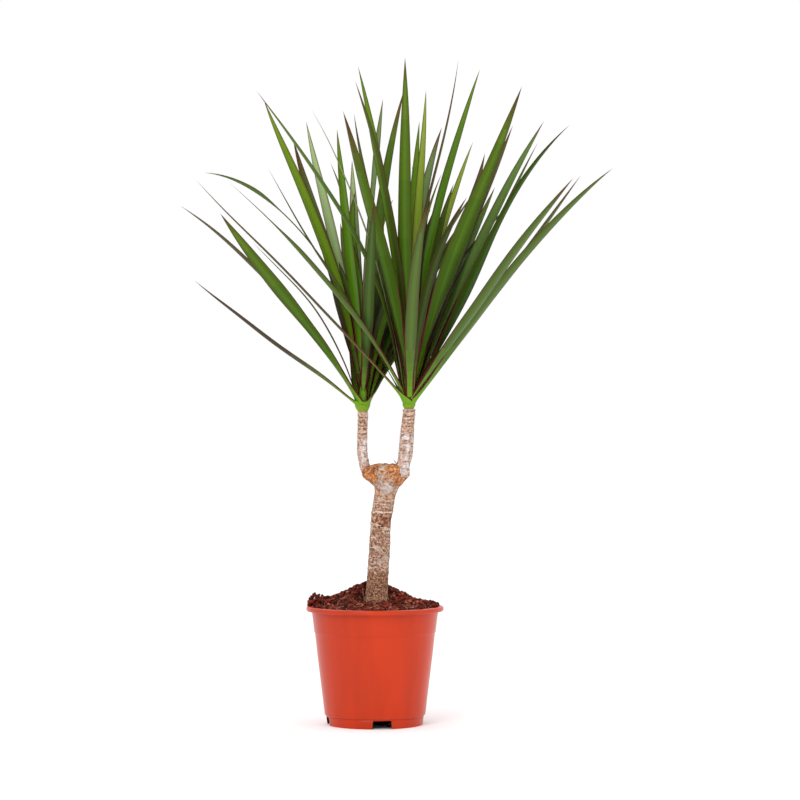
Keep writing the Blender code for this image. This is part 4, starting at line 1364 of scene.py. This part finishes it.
def makeBough(side):
    b = boughBark
    rows = boughShape[side]
    low, high = rows[0][2], rows[-1][2] - b["topGap"]
    gapSize, gapFrom, gapLess = b["scarGap"]
    darkHalf, darkMore = b["scarDark"]
    scars = ringScars(side, low, high)
    count = int((high - low) / b["step"])
    rings, names = [], []
    for r in range(count + 1):
        z = mix(low, high, r / count)
        across, deep, _, radius = alongRows(rows, z, 2)
        ring, ringNames = [], []
        for angle in evenTurns(b["sides"]):
            out = onRing(1, angle)
            point = Vector((across, deep, z)) + out * radius
            lift = relief(point, b["relief"]) + b["swell"][side]
            brown = z + relief(point, b["topRagged"]) > high - b["topBark"]
            finishName = "youngTop" if brown else "young"
            bloom = bloomHere(side, point)
            for height, tilt, turn, strength in scars:
                level = height + tilt * radius * math.cos(angle - turn) + relief(point, b["scarRagged"])
                away = (z - level) / b["scarHalf"]
                if abs(away) > b["scarReach"]:
                    continue
                lift -= b["scarDepth"] * strength * math.exp(-away * away)
                lift += b["lipRise"] * strength * math.exp(-(away - b["lipPlace"]) ** 2)
                dark = noise.noise(point / gapSize) > gapFrom - gapLess * strength
                if abs(away) < darkHalf + darkMore * strength and dark and not bloom:
                    finishName = "youngShade"
            if bloom:
                finishName = "wax"
                lift += b["bloomRise"]
            ring.append(point + out * lift)
            ringNames.append(finishName)
        rings.append(ring)
        names.append(ringNames)
    builder = MeshBuilder(side + "_bough_bark")
    addTube(builder, rings, names)
    if side == "right":
        addSpur(builder)
    builder.build("bough_bark", side + "_bough")


# Spur: a dry bud scale that stands off the foot of the right bough
spur = {"foot": (22.8, -4.0, 260.0), "lean": (-4.6, -1.0), "rise": 5.0, "bow": 1.4, "radius": 0.95,
        "taper": 0.7, "tip": 0.1, "steps": 5, "sides": 10}


def addSpur(builder):
    x, y, z = spur["foot"]
    right, back = spur["lean"]
    rings = []
    for i in range(spur["steps"] + 1):
        share = i / spur["steps"]
        middle = Vector((x + right * share, y + back * share, z + spur["rise"] * share ** spur["bow"]))
        radius = spur["radius"] * (1 - share) ** spur["taper"] + spur["tip"]
        rings.append([middle + onRing(radius, angle) for angle in evenTurns(spur["sides"])])
    addTube(builder, rings, [["grey"] * spur["sides"] for _ in rings])


# Pot: outline as the solid has it, with the finer edges of a moulding
potShape = {
    "height": 118.0, "rimRadius": 68.6, "lipHeight": 4.6, "lipRound": 1.9, "lipEdge": 1.1,
    "bodyTop": 63.3, "bodyLow": 50.3, "bandHeight": 92.0, "bandStep": 0.5, "wall": 1.3,
    "footHeight": 9.4, "footRadius": 48.6, "footTaper": 0.9, "floor": 8.9, "padRadius": 14.0,
    "padSlope": 4.0, "steps": 240, "sharpFrom": math.radians(32),
    "notches": 4, "notchTurn": math.radians(9), "notchTop": 18.0, "notchFoot": 22.0,
    "notchHeight": 8.4, "notchDeep": 12,
}


potFinish = {
    "ior": 1.49,
    "colour": "#B52E00",
    "roughness": 0.3,
    "specular": 0.27,
    # faint upright streaks, lighter and darker: painted highlights of the bright surroundings
    "paintedHighlightStreaks": ((0.35, "#AE2C02"), (0.65, "#BC3000")),
    "highlightStreakSize": 20,
    "highlightStreakStretch": (1, 1, 0.1),
    "grain": (1.1, 0.02),  # size and depth
    # painted shade: the part from below the floor down, painted near black for the shadow under the pot
    "paintedShadeColour": "#1E0E08",
    "paintedShadeRoughness": 0.8,
    "paintedShadeSpecular": 0.1,
    "paintedShadeGrain": (1.5, 0.1),
    "paintedShadeWalls": 1.3,  # how many walls inside the foot it starts
    "paintedShadeAbove": 0.5,
    "paintedShadeFacing": 0.5,
}


def makePotMaterial():
    # injection-moulded polypropylene: even colour with faint upright streaks of painted highlight,
    # satin skin with a fine grain and a grey sheen at its sides
    f = potFinish
    plastic = plainFinish("mouldedPolypropylene", f["colour"], f["roughness"], f["ior"],
                          Specular_IOR_Level=f["specular"])
    # painted highlights: faint upright streaks in the base colour
    patchy(plastic, f["highlightStreakSize"], f["paintedHighlightStreaks"], 2.0, f["highlightStreakStretch"])
    return grained(plastic, *f["grain"])


def makePaintedShadeMaterial():
    # the same plastic below and inside the foot, dulled and darkened as painted shade
    f = potFinish
    plastic = plainFinish("paintedShadeFootPlastic", f["paintedShadeColour"], f["paintedShadeRoughness"], f["ior"],
                          Specular_IOR_Level=f["paintedShadeSpecular"])
    return grained(plastic, *f["paintedShadeGrain"])


def potWall(height):
    low, top = potShape["footHeight"], potShape["height"] - potShape["lipHeight"]
    return mix(potShape["bodyLow"], potShape["bodyTop"], (height - low) / (top - low))


def potInner(height):
    return potWall(height) - potShape["bandStep"] - potShape["wall"]


def arc(middle, radius, start, end, count):
    # points of a round corner in the profile's plane, angles in degrees
    angles = [math.radians(mix(start, end, i / count)) for i in range(count + 1)]
    return [(middle[0] + radius * math.cos(a), middle[1] + radius * math.sin(a)) for a in angles]


def potProfile():
    # radius and height from the middle of the floor, up inside, over the lip and down outside;
    # the small offsets are the soft edges that the mould leaves
    p = potShape
    top, wall, floor = p["height"], p["wall"], p["floor"]
    lipLow = top - p["lipHeight"]
    rim, roundness, edge = p["rimRadius"], p["lipRound"], p["lipEdge"]
    band, step = p["bandHeight"], p["bandStep"]
    foot, footRadius = p["footHeight"], p["footRadius"]
    footEnd = footRadius - p["footTaper"]
    padEnd = p["padRadius"] + p["padSlope"]
    inside = [(0, wall), (p["padRadius"] - wall, wall), (padEnd - wall, floor + wall),
              (potInner(floor + wall), floor + wall), (potInner(top - 2), top - 2)]
    lip = arc((potInner(top) + 1.6, top - 1.5), 1.5, 180, 90, 4)
    lip += arc((rim - roundness, top - roundness), roundness, 90, 0, 6)
    lip += arc((rim - edge, lipLow + edge), edge, 0, -90, 4)
    lip += arc((potWall(lipLow) + 1.0, lipLow - 0.9), 0.9, 90, 180, 4)
    body = [(potWall(lipLow - 3), lipLow - 3), (potWall(band + 6), band + 6),
            (potWall(band + 0.5), band + 0.5), (potWall(band) - 0.12, band),
            (potWall(band - 0.5) - step * 0.8, band - 0.5), (potWall(band - 1.2) - step, band - 1.2),
            (potWall(band - 6) - step * 0.9, band - 6)]
    body += [(potWall(z) - step * 0.5 * z / band, z) for z in (70, 50, 30, 18, foot + 2.2)]
    base = [(potWall(foot + 1.0), foot + 1.0), (potWall(foot) - 0.5, foot + 0.3),
            (footRadius + 0.05, foot - 0.5), (footRadius + 0.35, foot - 1.3), (footRadius, foot - 2.2),
            (footEnd + 0.15, 0.6), (footEnd - 0.3, 0.0), (footEnd - wall, 0), (footRadius - wall, floor),
            (padEnd, floor), (p["padRadius"], 0.0), (0, 0)]
    return inside + lip + body + base


def makePot():
    steps = potShape["steps"]
    mesh = bmesh.new()
    columns = []
    for r, z in potProfile():
        if r == 0:
            columns.append([mesh.verts.new((0, 0, z * mm))])
            continue
        spots = [(r * mm * math.cos(a), r * mm * math.sin(a), z * mm) for a in evenTurns(steps)]
        columns.append([mesh.verts.new(spot) for spot in spots])
    for low, high in zip(columns, columns[1:]):
        for i in range(steps):
            j = (i + 1) % steps
            ring = [low[i % len(low)], high[i % len(high)], high[j % len(high)], low[j % len(low)]]
            corners = list(dict.fromkeys(ring))
            mesh.faces.new(corners)
    bmesh.ops.recalc_face_normals(mesh, faces=mesh.faces)
    data = bpy.data.meshes.new("nursery_pot")
    mesh.to_mesh(data)
    mesh.free()
    data.materials.append(makePotMaterial())
    pot = bpy.data.objects.new("nursery_pot", data)
    bpy.context.scene.collection.objects.link(pot)
    cutters = []
    for i in range(potShape["notches"]):
        cutter = notchCutter(i)
        cut = pot.modifiers.new("notch", "BOOLEAN")
        cut.operation = "DIFFERENCE"
        cut.object = cutter
        cutters.append(cutter)
    bpy.context.view_layer.update()
    cutMesh = bpy.data.meshes.new_from_object(pot.evaluated_get(bpy.context.evaluated_depsgraph_get()))
    pot.modifiers.clear()
    pot.data = cutMesh
    for cutter in cutters:
        bpy.data.objects.remove(cutter)
    cutMesh.shade_smooth()
    cutMesh.set_sharp_from_angle(angle=potShape["sharpFrom"])
    cutMesh.materials.append(makePaintedShadeMaterial())
    # painted shade: faces below the floor that lie inside the foot or don't face outwards, as the notches'
    # walls do, get the dark plastic
    for face in cutMesh.polygons:
        x, y, z = face.center / mm
        inside = math.hypot(x, y) < potShape["footRadius"] - potShape["wall"] * potFinish["paintedShadeWalls"]
        outward = (face.normal.x * x + face.normal.y * y) / max(math.hypot(x, y), 1)
        low = z < potShape["floor"] + potFinish["paintedShadeAbove"]
        if low and (inside or abs(outward) < potFinish["paintedShadeFacing"]):
            face.material_index = 1
    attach(pot, body)
    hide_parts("pot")


def notchCutter(index):
    # a block that narrows upwards, set across the foot
    turn = potShape["notchTurn"] - math.pi / 2 + index * 2 * math.pi / potShape["notches"]
    shape = bmesh.new()
    bmesh.ops.create_cube(shape, size=1.0)
    for corner in shape.verts:
        high = corner.co.z > 0
        width = potShape["notchTop"] if high else potShape["notchFoot"]
        corner.co.y *= width * mm
        corner.co.x = (corner.co.x * potShape["notchDeep"] + potShape["footRadius"]) * mm
        corner.co.z = (potShape["notchHeight"] if high else -potShape["notchHeight"]) * mm
    data = bpy.data.meshes.new("notch")
    shape.to_mesh(data)
    shape.free()
    cutter = bpy.data.objects.new("notch", data)
    cutter.rotation_euler.z = turn
    bpy.context.scene.collection.objects.link(cutter)
    return cutter


# Potting mix: coir crumbs, heaped above the rim, highest just behind the trunk
soilShape = {
    "edge": 113.5, "mound": 7.0, "moundSpread": 46.0,
    "crest": (-4.0, 20.0), "crestHeight": 20.5, "crestWide": 40.0, "crestDeep": 20.0,
    "lumps": ((-52, 10, 6), (-26, -26, 2), (30, 34, 2), (40, -20, 2), (54, 12, 4)), "lumpSpread": 11.0,
    "seatHeight": 122.5, "seatRadius": 13.0, "seatSlope": 6.0, "foot": 1.2,
    "relief": ((6.0, 1.5), (2.6, 1.1), (1.2, 0.5)),
    "rings": 96, "sides": 260, "radius": 60.4, "ringCurve": 0.9,
    # radius and height of the rings inside the pot, where the mix doesn't show
    "below": ((59.0, 100.0), (48.6, 12.0), (16.4, 11.0), (12.2, 2.0)),
    # tones by the value of a noise
    "tones": ((0.05, "dark"), (0.35, "brown"), (math.inf, "red")),
    "toneNoise": ((1.8, 1), (7.0, 0.4)),  # size and strength
}


def bump(x, y, middle, height, spread):
    away = (x - middle[0]) ** 2 + (y - middle[1]) ** 2
    return height * math.exp(-away / spread ** 2)


def soilHeight(x, y):
    s = soilShape
    heap = s["edge"] + bump(x, y, (0, 0), s["mound"], s["moundSpread"])
    away = ((x - s["crest"][0]) / s["crestWide"]) ** 2 + ((y - s["crest"][1]) / s["crestDeep"]) ** 2
    heap += s["crestHeight"] * math.exp(-away)
    for across, deep, rise in s["lumps"]:
        heap += bump(x, y, (across, deep), rise, s["lumpSpread"])
    away = math.hypot(x - s["foot"], y)
    return mix(s["seatHeight"], heap, clamped((away - s["seatRadius"]) / s["seatSlope"]))


def soilSurface(x, y):
    # the heap with its crumbs' relief
    return soilHeight(x, y) + relief(Vector((x, y, 0)), soilShape["relief"])


soilFinish = {
    "crumbs": {"dark": "#360F09", "brown": "#561E13", "red": "#803020", "dry": "#A65C42"},
    "roughness": 0.9,
    "specular": 0.2,
    "grain": (0.9, 0.3),  # size and depth
    "fibre": "#A2664C",
    "paleFibre": "#CDA58C",
    "fibreRoughness": 0.8,
    "root": "#94694A",
    "rootRoughness": 0.85,
    "rootGrain": (0.8, 0.15),
}


def makeSoilMaterials():
    # damp coir and peat: dark red-brown, matt, with a few dry pale crumbs; dry coir fibre is straw
    # brown, and the roots have a thin, dull cork skin
    f = soilFinish
    made = {}
    for tone, colour in f["crumbs"].items():
        crumb = plainFinish("coirCrumb-" + tone, colour, f["roughness"], Specular_IOR_Level=f["specular"])
        made[tone] = grained(crumb, *f["grain"])
    made["fibre"] = plainFinish("dryCoirFibre", f["fibre"], f["fibreRoughness"])
    made["paleFibre"] = plainFinish("paleCoirFibre", f["paleFibre"], f["fibreRoughness"])
    made["root"] = grained(plainFinish("fineRootBark", f["root"], f["rootRoughness"]), *f["rootGrain"])
    return made


soilMaterials = makeSoilMaterials()


def addStrand(builder, line, radii, material, sides):
    # a thin closed tube along a line of points
    points = []
    for i, point in enumerate(line):
        heading = (line[min(i + 1, len(line) - 1)] - line[max(i - 1, 0)]).normalized()
        across = heading.cross(Vector((0.3, 0.2, 1))).normalized()
        other = heading.cross(across)
        points += [point + (across * math.cos(a) + other * math.sin(a)) * radii[i] for a in evenTurns(sides)]
    faces = tubeFaces(len(line), sides)
    builder.add(points, faces, [builder.slotOf(material)] * len(faces))


def makeSoilBed():
    s = soilShape
    builder = MeshBuilder("potting_mix_bed")
    sides, rings = s["sides"], s["rings"]
    points = [Vector((0, 0, soilHeight(0, 0)))]
    for r in range(1, rings + 1):
        radius = s["radius"] * (r / rings) ** s["ringCurve"]
        for angle in evenTurns(sides):
            x, y = radius * math.cos(angle), radius * math.sin(angle)
            points.append(Vector((x, y, soilSurface(x, y))))
    for radius, height in s["below"]:
        points += [onRing(radius, angle, height) for angle in evenTurns(sides)]
    dark = builder.slotOf(soilMaterials["dark"])
    faces = [(0, 1 + i, 1 + (i + 1) % sides) for i in range(sides)]
    slots = [dark] * sides
    total = rings + len(s["below"])
    for r in range(total - 1):
        a, b = 1 + r * sides, 1 + (r + 1) * sides
        for i in range(sides):
            j = (i + 1) % sides
            faces.append((a + i, b + i, b + j, a + j))
            tone = stepOf(s["tones"], relief(points[a + i], s["toneNoise"]))
            slots.append(builder.slotOf(soilMaterials[tone]))
    faces.append(tuple(1 + (total - 1) * sides + i for i in range(sides))[::-1])
    builder.add(points, faces, slots + [dark])
    builder.build("potting_mix", "soil")


def crumbShape(rng):
    # an uneven lump: an icosahedron whose corners are pushed about
    shape = bmesh.new()
    bmesh.ops.create_icosphere(shape, subdivisions=1, radius=1.0)
    points = [corner.co.copy() for corner in shape.verts]
    faces = [tuple(corner.index for corner in face.verts) for face in shape.faces]
    shape.free()
    points = [point * rng.uniform(*crumbs["lumpy"]) for point in points]
    return points, faces


# Loose crumbs on the bed, and clods that lie on the rim
crumbs = {
    "lumpy": (0.65, 1.25),
    "count": 4600,
    "seed": 41,
    "shapes": 14,
    "size": (0.6, 2.3),
    "sizeCurve": 2.2,  # most are small
    "flat": (0.6, 1.0),
    "sunk": 0.35,  # of its size, how high a crumb's middle lies
    "trunkRoom": 12.6,  # none lie nearer the trunk's middle
    "edgeRoom": 0.4,
    "tones": ["dark"] * 4 + ["brown"] * 5 + ["red"] * 4 + ["dry"],
    # clods: across, depth, how many, how far they spread and how high they are heaped
    "clods": ((-61.5, 6, 90, 5.5, 11.0), (-56, 3, 40, 4.0, 8.0), (-57, -9, 22, 3.0, 2.7),
              (60, 6, 34, 3.6, 2.0), (58, -12, 22, 3.0, 1.5), (-46, -34, 12, 3.0, 2.7),
              (44, -36, 12, 3.0, 1.5)),
    "clodSize": (0.9, 2.3),
    "clodLong": 1.6,
    "clodSlope": 0.8,  # how much lower a heap is at its side
    "clodSunk": 0.5,
    "clodTones": ("dark", "brown", "brown", "red"),
    "rimReach": 66.5,  # none lie further out
    "rimFrom": 60,  # radius from which they lie on the rim
}


def makeCrumbs():
    c = crumbs
    rng = random.Random(c["seed"])
    shapes = [crumbShape(rng) for _ in range(c["shapes"])]
    builder = MeshBuilder("potting_mix_crumbs")
    for _ in range(c["count"]):
        radius = (soilShape["radius"] - c["edgeRoom"]) * math.sqrt(rng.random())
        angle = rng.uniform(0, 2 * math.pi)
        x, y = radius * math.cos(angle), radius * math.sin(angle)
        size = mix(*c["size"], rng.random() ** c["sizeCurve"])
        if math.hypot(x - soilShape["foot"], y) < c["trunkRoom"]:
            continue
        middle = Vector((x, y, soilSurface(x, y) + size * c["sunk"]))
        points, faces = rng.choice(shapes)
        turn = rng.uniform(0, anyTurn)
        flat = rng.uniform(*c["flat"])
        cos, sin = math.cos(turn), math.sin(turn)
        turned = [Vector((p.x * cos - p.y * sin, p.x * sin + p.y * cos, p.z * flat)) for p in points]
        slot = builder.slotOf(soilMaterials[rng.choice(c["tones"])])
        builder.add([middle + p * size for p in turned], faces, [slot] * len(faces))
    for across, deep, count, spread, heap in c["clods"]:
        for _ in range(count):
            x = across + rng.uniform(-spread, spread)
            y = deep + rng.uniform(-spread, spread) * c["clodLong"]
            away = math.hypot(x, y)
            size = rng.uniform(*c["clodSize"])
            if away > c["rimReach"]:
                x, y = x * c["rimReach"] / away, y * c["rimReach"] / away
            floor = max(soilSurface(x, y), potShape["height"] if away > c["rimFrom"] else 0)
            rise = rng.uniform(0, heap) * (1 - c["clodSlope"] * abs(x - across) / spread)
            middle = Vector((x, y, floor + size * c["clodSunk"] + rise))
            points, faces = rng.choice(shapes)
            slot = builder.slotOf(soilMaterials[rng.choice(c["clodTones"])])
            builder.add([middle + p * size for p in points], faces, [slot] * len(faces))
    builder.build("potting_mix")


# Coir fibres that lie on the crumbs
fibres = {
    "count": 240,
    "seed": 17,
    "length": (5.0, 22.0),
    "radius": (0.12, 0.26),
    "taper": 0.6,
    "points": 8,
    "fewest": 4,
    "bend": 0.35,
    "wander": 0.15,
    "lift": 1.1,  # above the crumbs
    "hop": 0.8,  # how much higher its middle may stand
    "pale": 0.25,  # share of them
    "startRoom": 2,  # from the bed's edge, and that at a fibre's end
    "endRoom": 0.5,
    "sides": 4,
}


def makeFibres():
    f = fibres
    edge = soilShape["radius"]
    rng = random.Random(f["seed"])
    builder = MeshBuilder("coir_fibres")
    for _ in range(f["count"]):
        radius = (edge - f["startRoom"]) * math.sqrt(rng.random())
        spot = onRing(radius, rng.uniform(0, 2 * math.pi))
        heading = rng.uniform(0, 2 * math.pi)
        length = mix(*f["length"], rng.random() ** 2)
        bend = rng.uniform(-f["bend"], f["bend"])
        line = []
        for k in range(f["points"]):
            x, y = spot.x, spot.y
            if math.hypot(x, y) > edge - f["endRoom"]:
                break
            lift = f["lift"] + f["hop"] * math.sin(math.pi * k / (f["points"] - 1)) * rng.random()
            line.append(Vector((x, y, soilSurface(x, y) + lift)))
            spot = spot + onRing(1, heading) * (length / f["points"])
            heading += bend * length / f["points"] + rng.uniform(-f["wander"], f["wander"])
        if len(line) < f["fewest"]:
            continue
        thick = mix(*f["radius"], rng.random())
        radii = [thick * (1 - f["taper"] * k / (len(line) - 1)) for k in range(len(line))]
        material = soilMaterials["paleFibre" if rng.random() < f["pale"] else "fibre"]
        addStrand(builder, line, radii, material, f["sides"])
    builder.build("potting_mix")


# Fine roots that hug the trunk's foot, then run out and dip into the mix
roots = {
    "count": 20,
    "seed": 5,
    "uneven": 0.8,  # of the even step round the trunk
    "length": (5, 17),
    "start": (124.5, 128),  # height
    "curl": 0.6,
    "curlCurve": 1.5,
    "runCurve": 1.6,
    "settle": 2.6,  # how soon a root has come down to the mix
    "radius": (0.35, 0.8),
    "tip": 0.4,  # of its radius
    "steps": 10,
    "trunk": 11.0,  # from the trunk's middle
    "lift": 0.9,  # above the mix, before its end dips
    "dip": 2.6,
    "bulge": 1.2,
    "sides": 7,
}


def makeRoots():
    r = roots
    rng = random.Random(r["seed"])
    builder = MeshBuilder("surface_roots")
    for i in range(r["count"]):
        angle = 2 * math.pi * (i + rng.uniform(0, r["uneven"])) / r["count"]
        length = rng.uniform(*r["length"])
        start = rng.uniform(*r["start"])
        curl = rng.uniform(-r["curl"], r["curl"])
        thick = rng.uniform(*r["radius"])
        line, radii = [], []
        for k in range(r["steps"] + 1):
            share = k / r["steps"]
            away = r["trunk"] + r["bulge"] * share + length * share ** r["runCurve"]
            turn = angle + curl * share ** r["curlCurve"]
            x, y = soilShape["foot"] + away * math.cos(turn), away * math.sin(turn)
            height = mix(start, soilSurface(x, y) + r["lift"], smoothstep(share * r["settle"]))
            line.append(Vector((x, y, height - r["dip"] * share ** 4)))
            radii.append(thick * mix(1, r["tip"], share))
        addStrand(builder, line, radii, soilMaterials["root"], r["sides"])
    builder.build("trunk_bark")


# Stage: pale floor, white surroundings, soft key from the upper left and a weak fill; in metres
studio = {
    "floorRadius": 14.0,
    "floorColour": "#FBFBFB",
    "worldHorizon": 1.0,
    "worldTop": 1.2,
    "worldStops": (0.3, 0.75),
    "key": {"place": (-1.0, -2.6, 2.1), "size": 1.3, "power": 34.0},
    "fill": {"place": (2.2, -1.6, 1.0), "size": 1.6, "power": 6.0},
    "aim": (0.02, 0.0, 0.33),
    "lens": 126,
    "sensor": 36,
    "clip": (0.1, 60),
}


def makeStage():
    # matt painted floor: near white, so that only a soft shadow shows on it
    floor = plainFinish("paleMattFloor", studio["floorColour"], 0.9, 1.3)
    shape = bmesh.new()
    bmesh.ops.create_circle(shape, cap_ends=True, segments=64, radius=studio["floorRadius"])
    data = bpy.data.meshes.new("studio_floor")
    shape.to_mesh(data)
    shape.free()
    data.materials.append(floor)
    piece = bpy.data.objects.new("studio_floor", data)
    bpy.context.scene.collection.objects.link(piece)
    world = bpy.data.worlds.new("studio")
    bpy.context.scene.world = world
    world.use_nodes = True
    tree = world.node_tree
    place = addNode(tree, "ShaderNodeTexCoord")
    parts = addNode(tree, "ShaderNodeSeparateXYZ", links={"Vector": place.outputs["Generated"]})
    ramp = addNode(tree, "ShaderNodeValToRGB", links={"Fac": parts.outputs["Z"]})
    greys = [(studio[name],) * 3 + (1,) for name in ("worldHorizon", "worldTop")]
    setStops(ramp, list(zip(studio["worldStops"], greys)))
    tree.links.new(ramp.outputs["Color"], tree.nodes["Background"].inputs["Color"])


def makeLight(name):
    light = bpy.data.lights.new(name, "AREA")
    light.size = studio[name]["size"]
    light.energy = studio[name]["power"]
    lamp = bpy.data.objects.new(name + "_light", light)
    lamp.location = studio[name]["place"]
    aim = Vector(studio["aim"]) - lamp.location
    lamp.rotation_euler = aim.to_track_quat("-Z", "Y").to_euler()
    bpy.context.scene.collection.objects.link(lamp)


def makeCamera():
    # level view from the front, as the leaves were measured
    camera = bpy.data.cameras.new("front")
    camera.lens = studio["lens"]
    camera.sensor_width = studio["sensor"]
    camera.clip_start, camera.clip_end = studio["clip"]
    eye = bpy.data.objects.new("front", camera)
    eye.location = (sight["across"] * mm, -sight["distance"] * mm, sight["height"] * mm)
    eye.rotation_euler = (math.pi / 2, 0, 0)
    bpy.context.scene.collection.objects.link(eye)
    bpy.context.scene.camera = eye
    bpy.context.scene.view_settings.view_transform = "Standard"


makePot()
print("pot made")
makeSoilBed()
makeCrumbs()
makeFibres()
print("potting mix made")
makeTrunk()
makeRoots()
makeBough("left")
makeBough("right")
print("trunk and boughs made")
makeHeads()
print("heads made")
makeStage()
makeLight("key")
makeLight("fill")
makeCamera()
print("stage made")

bpy.context.view_layer.update()
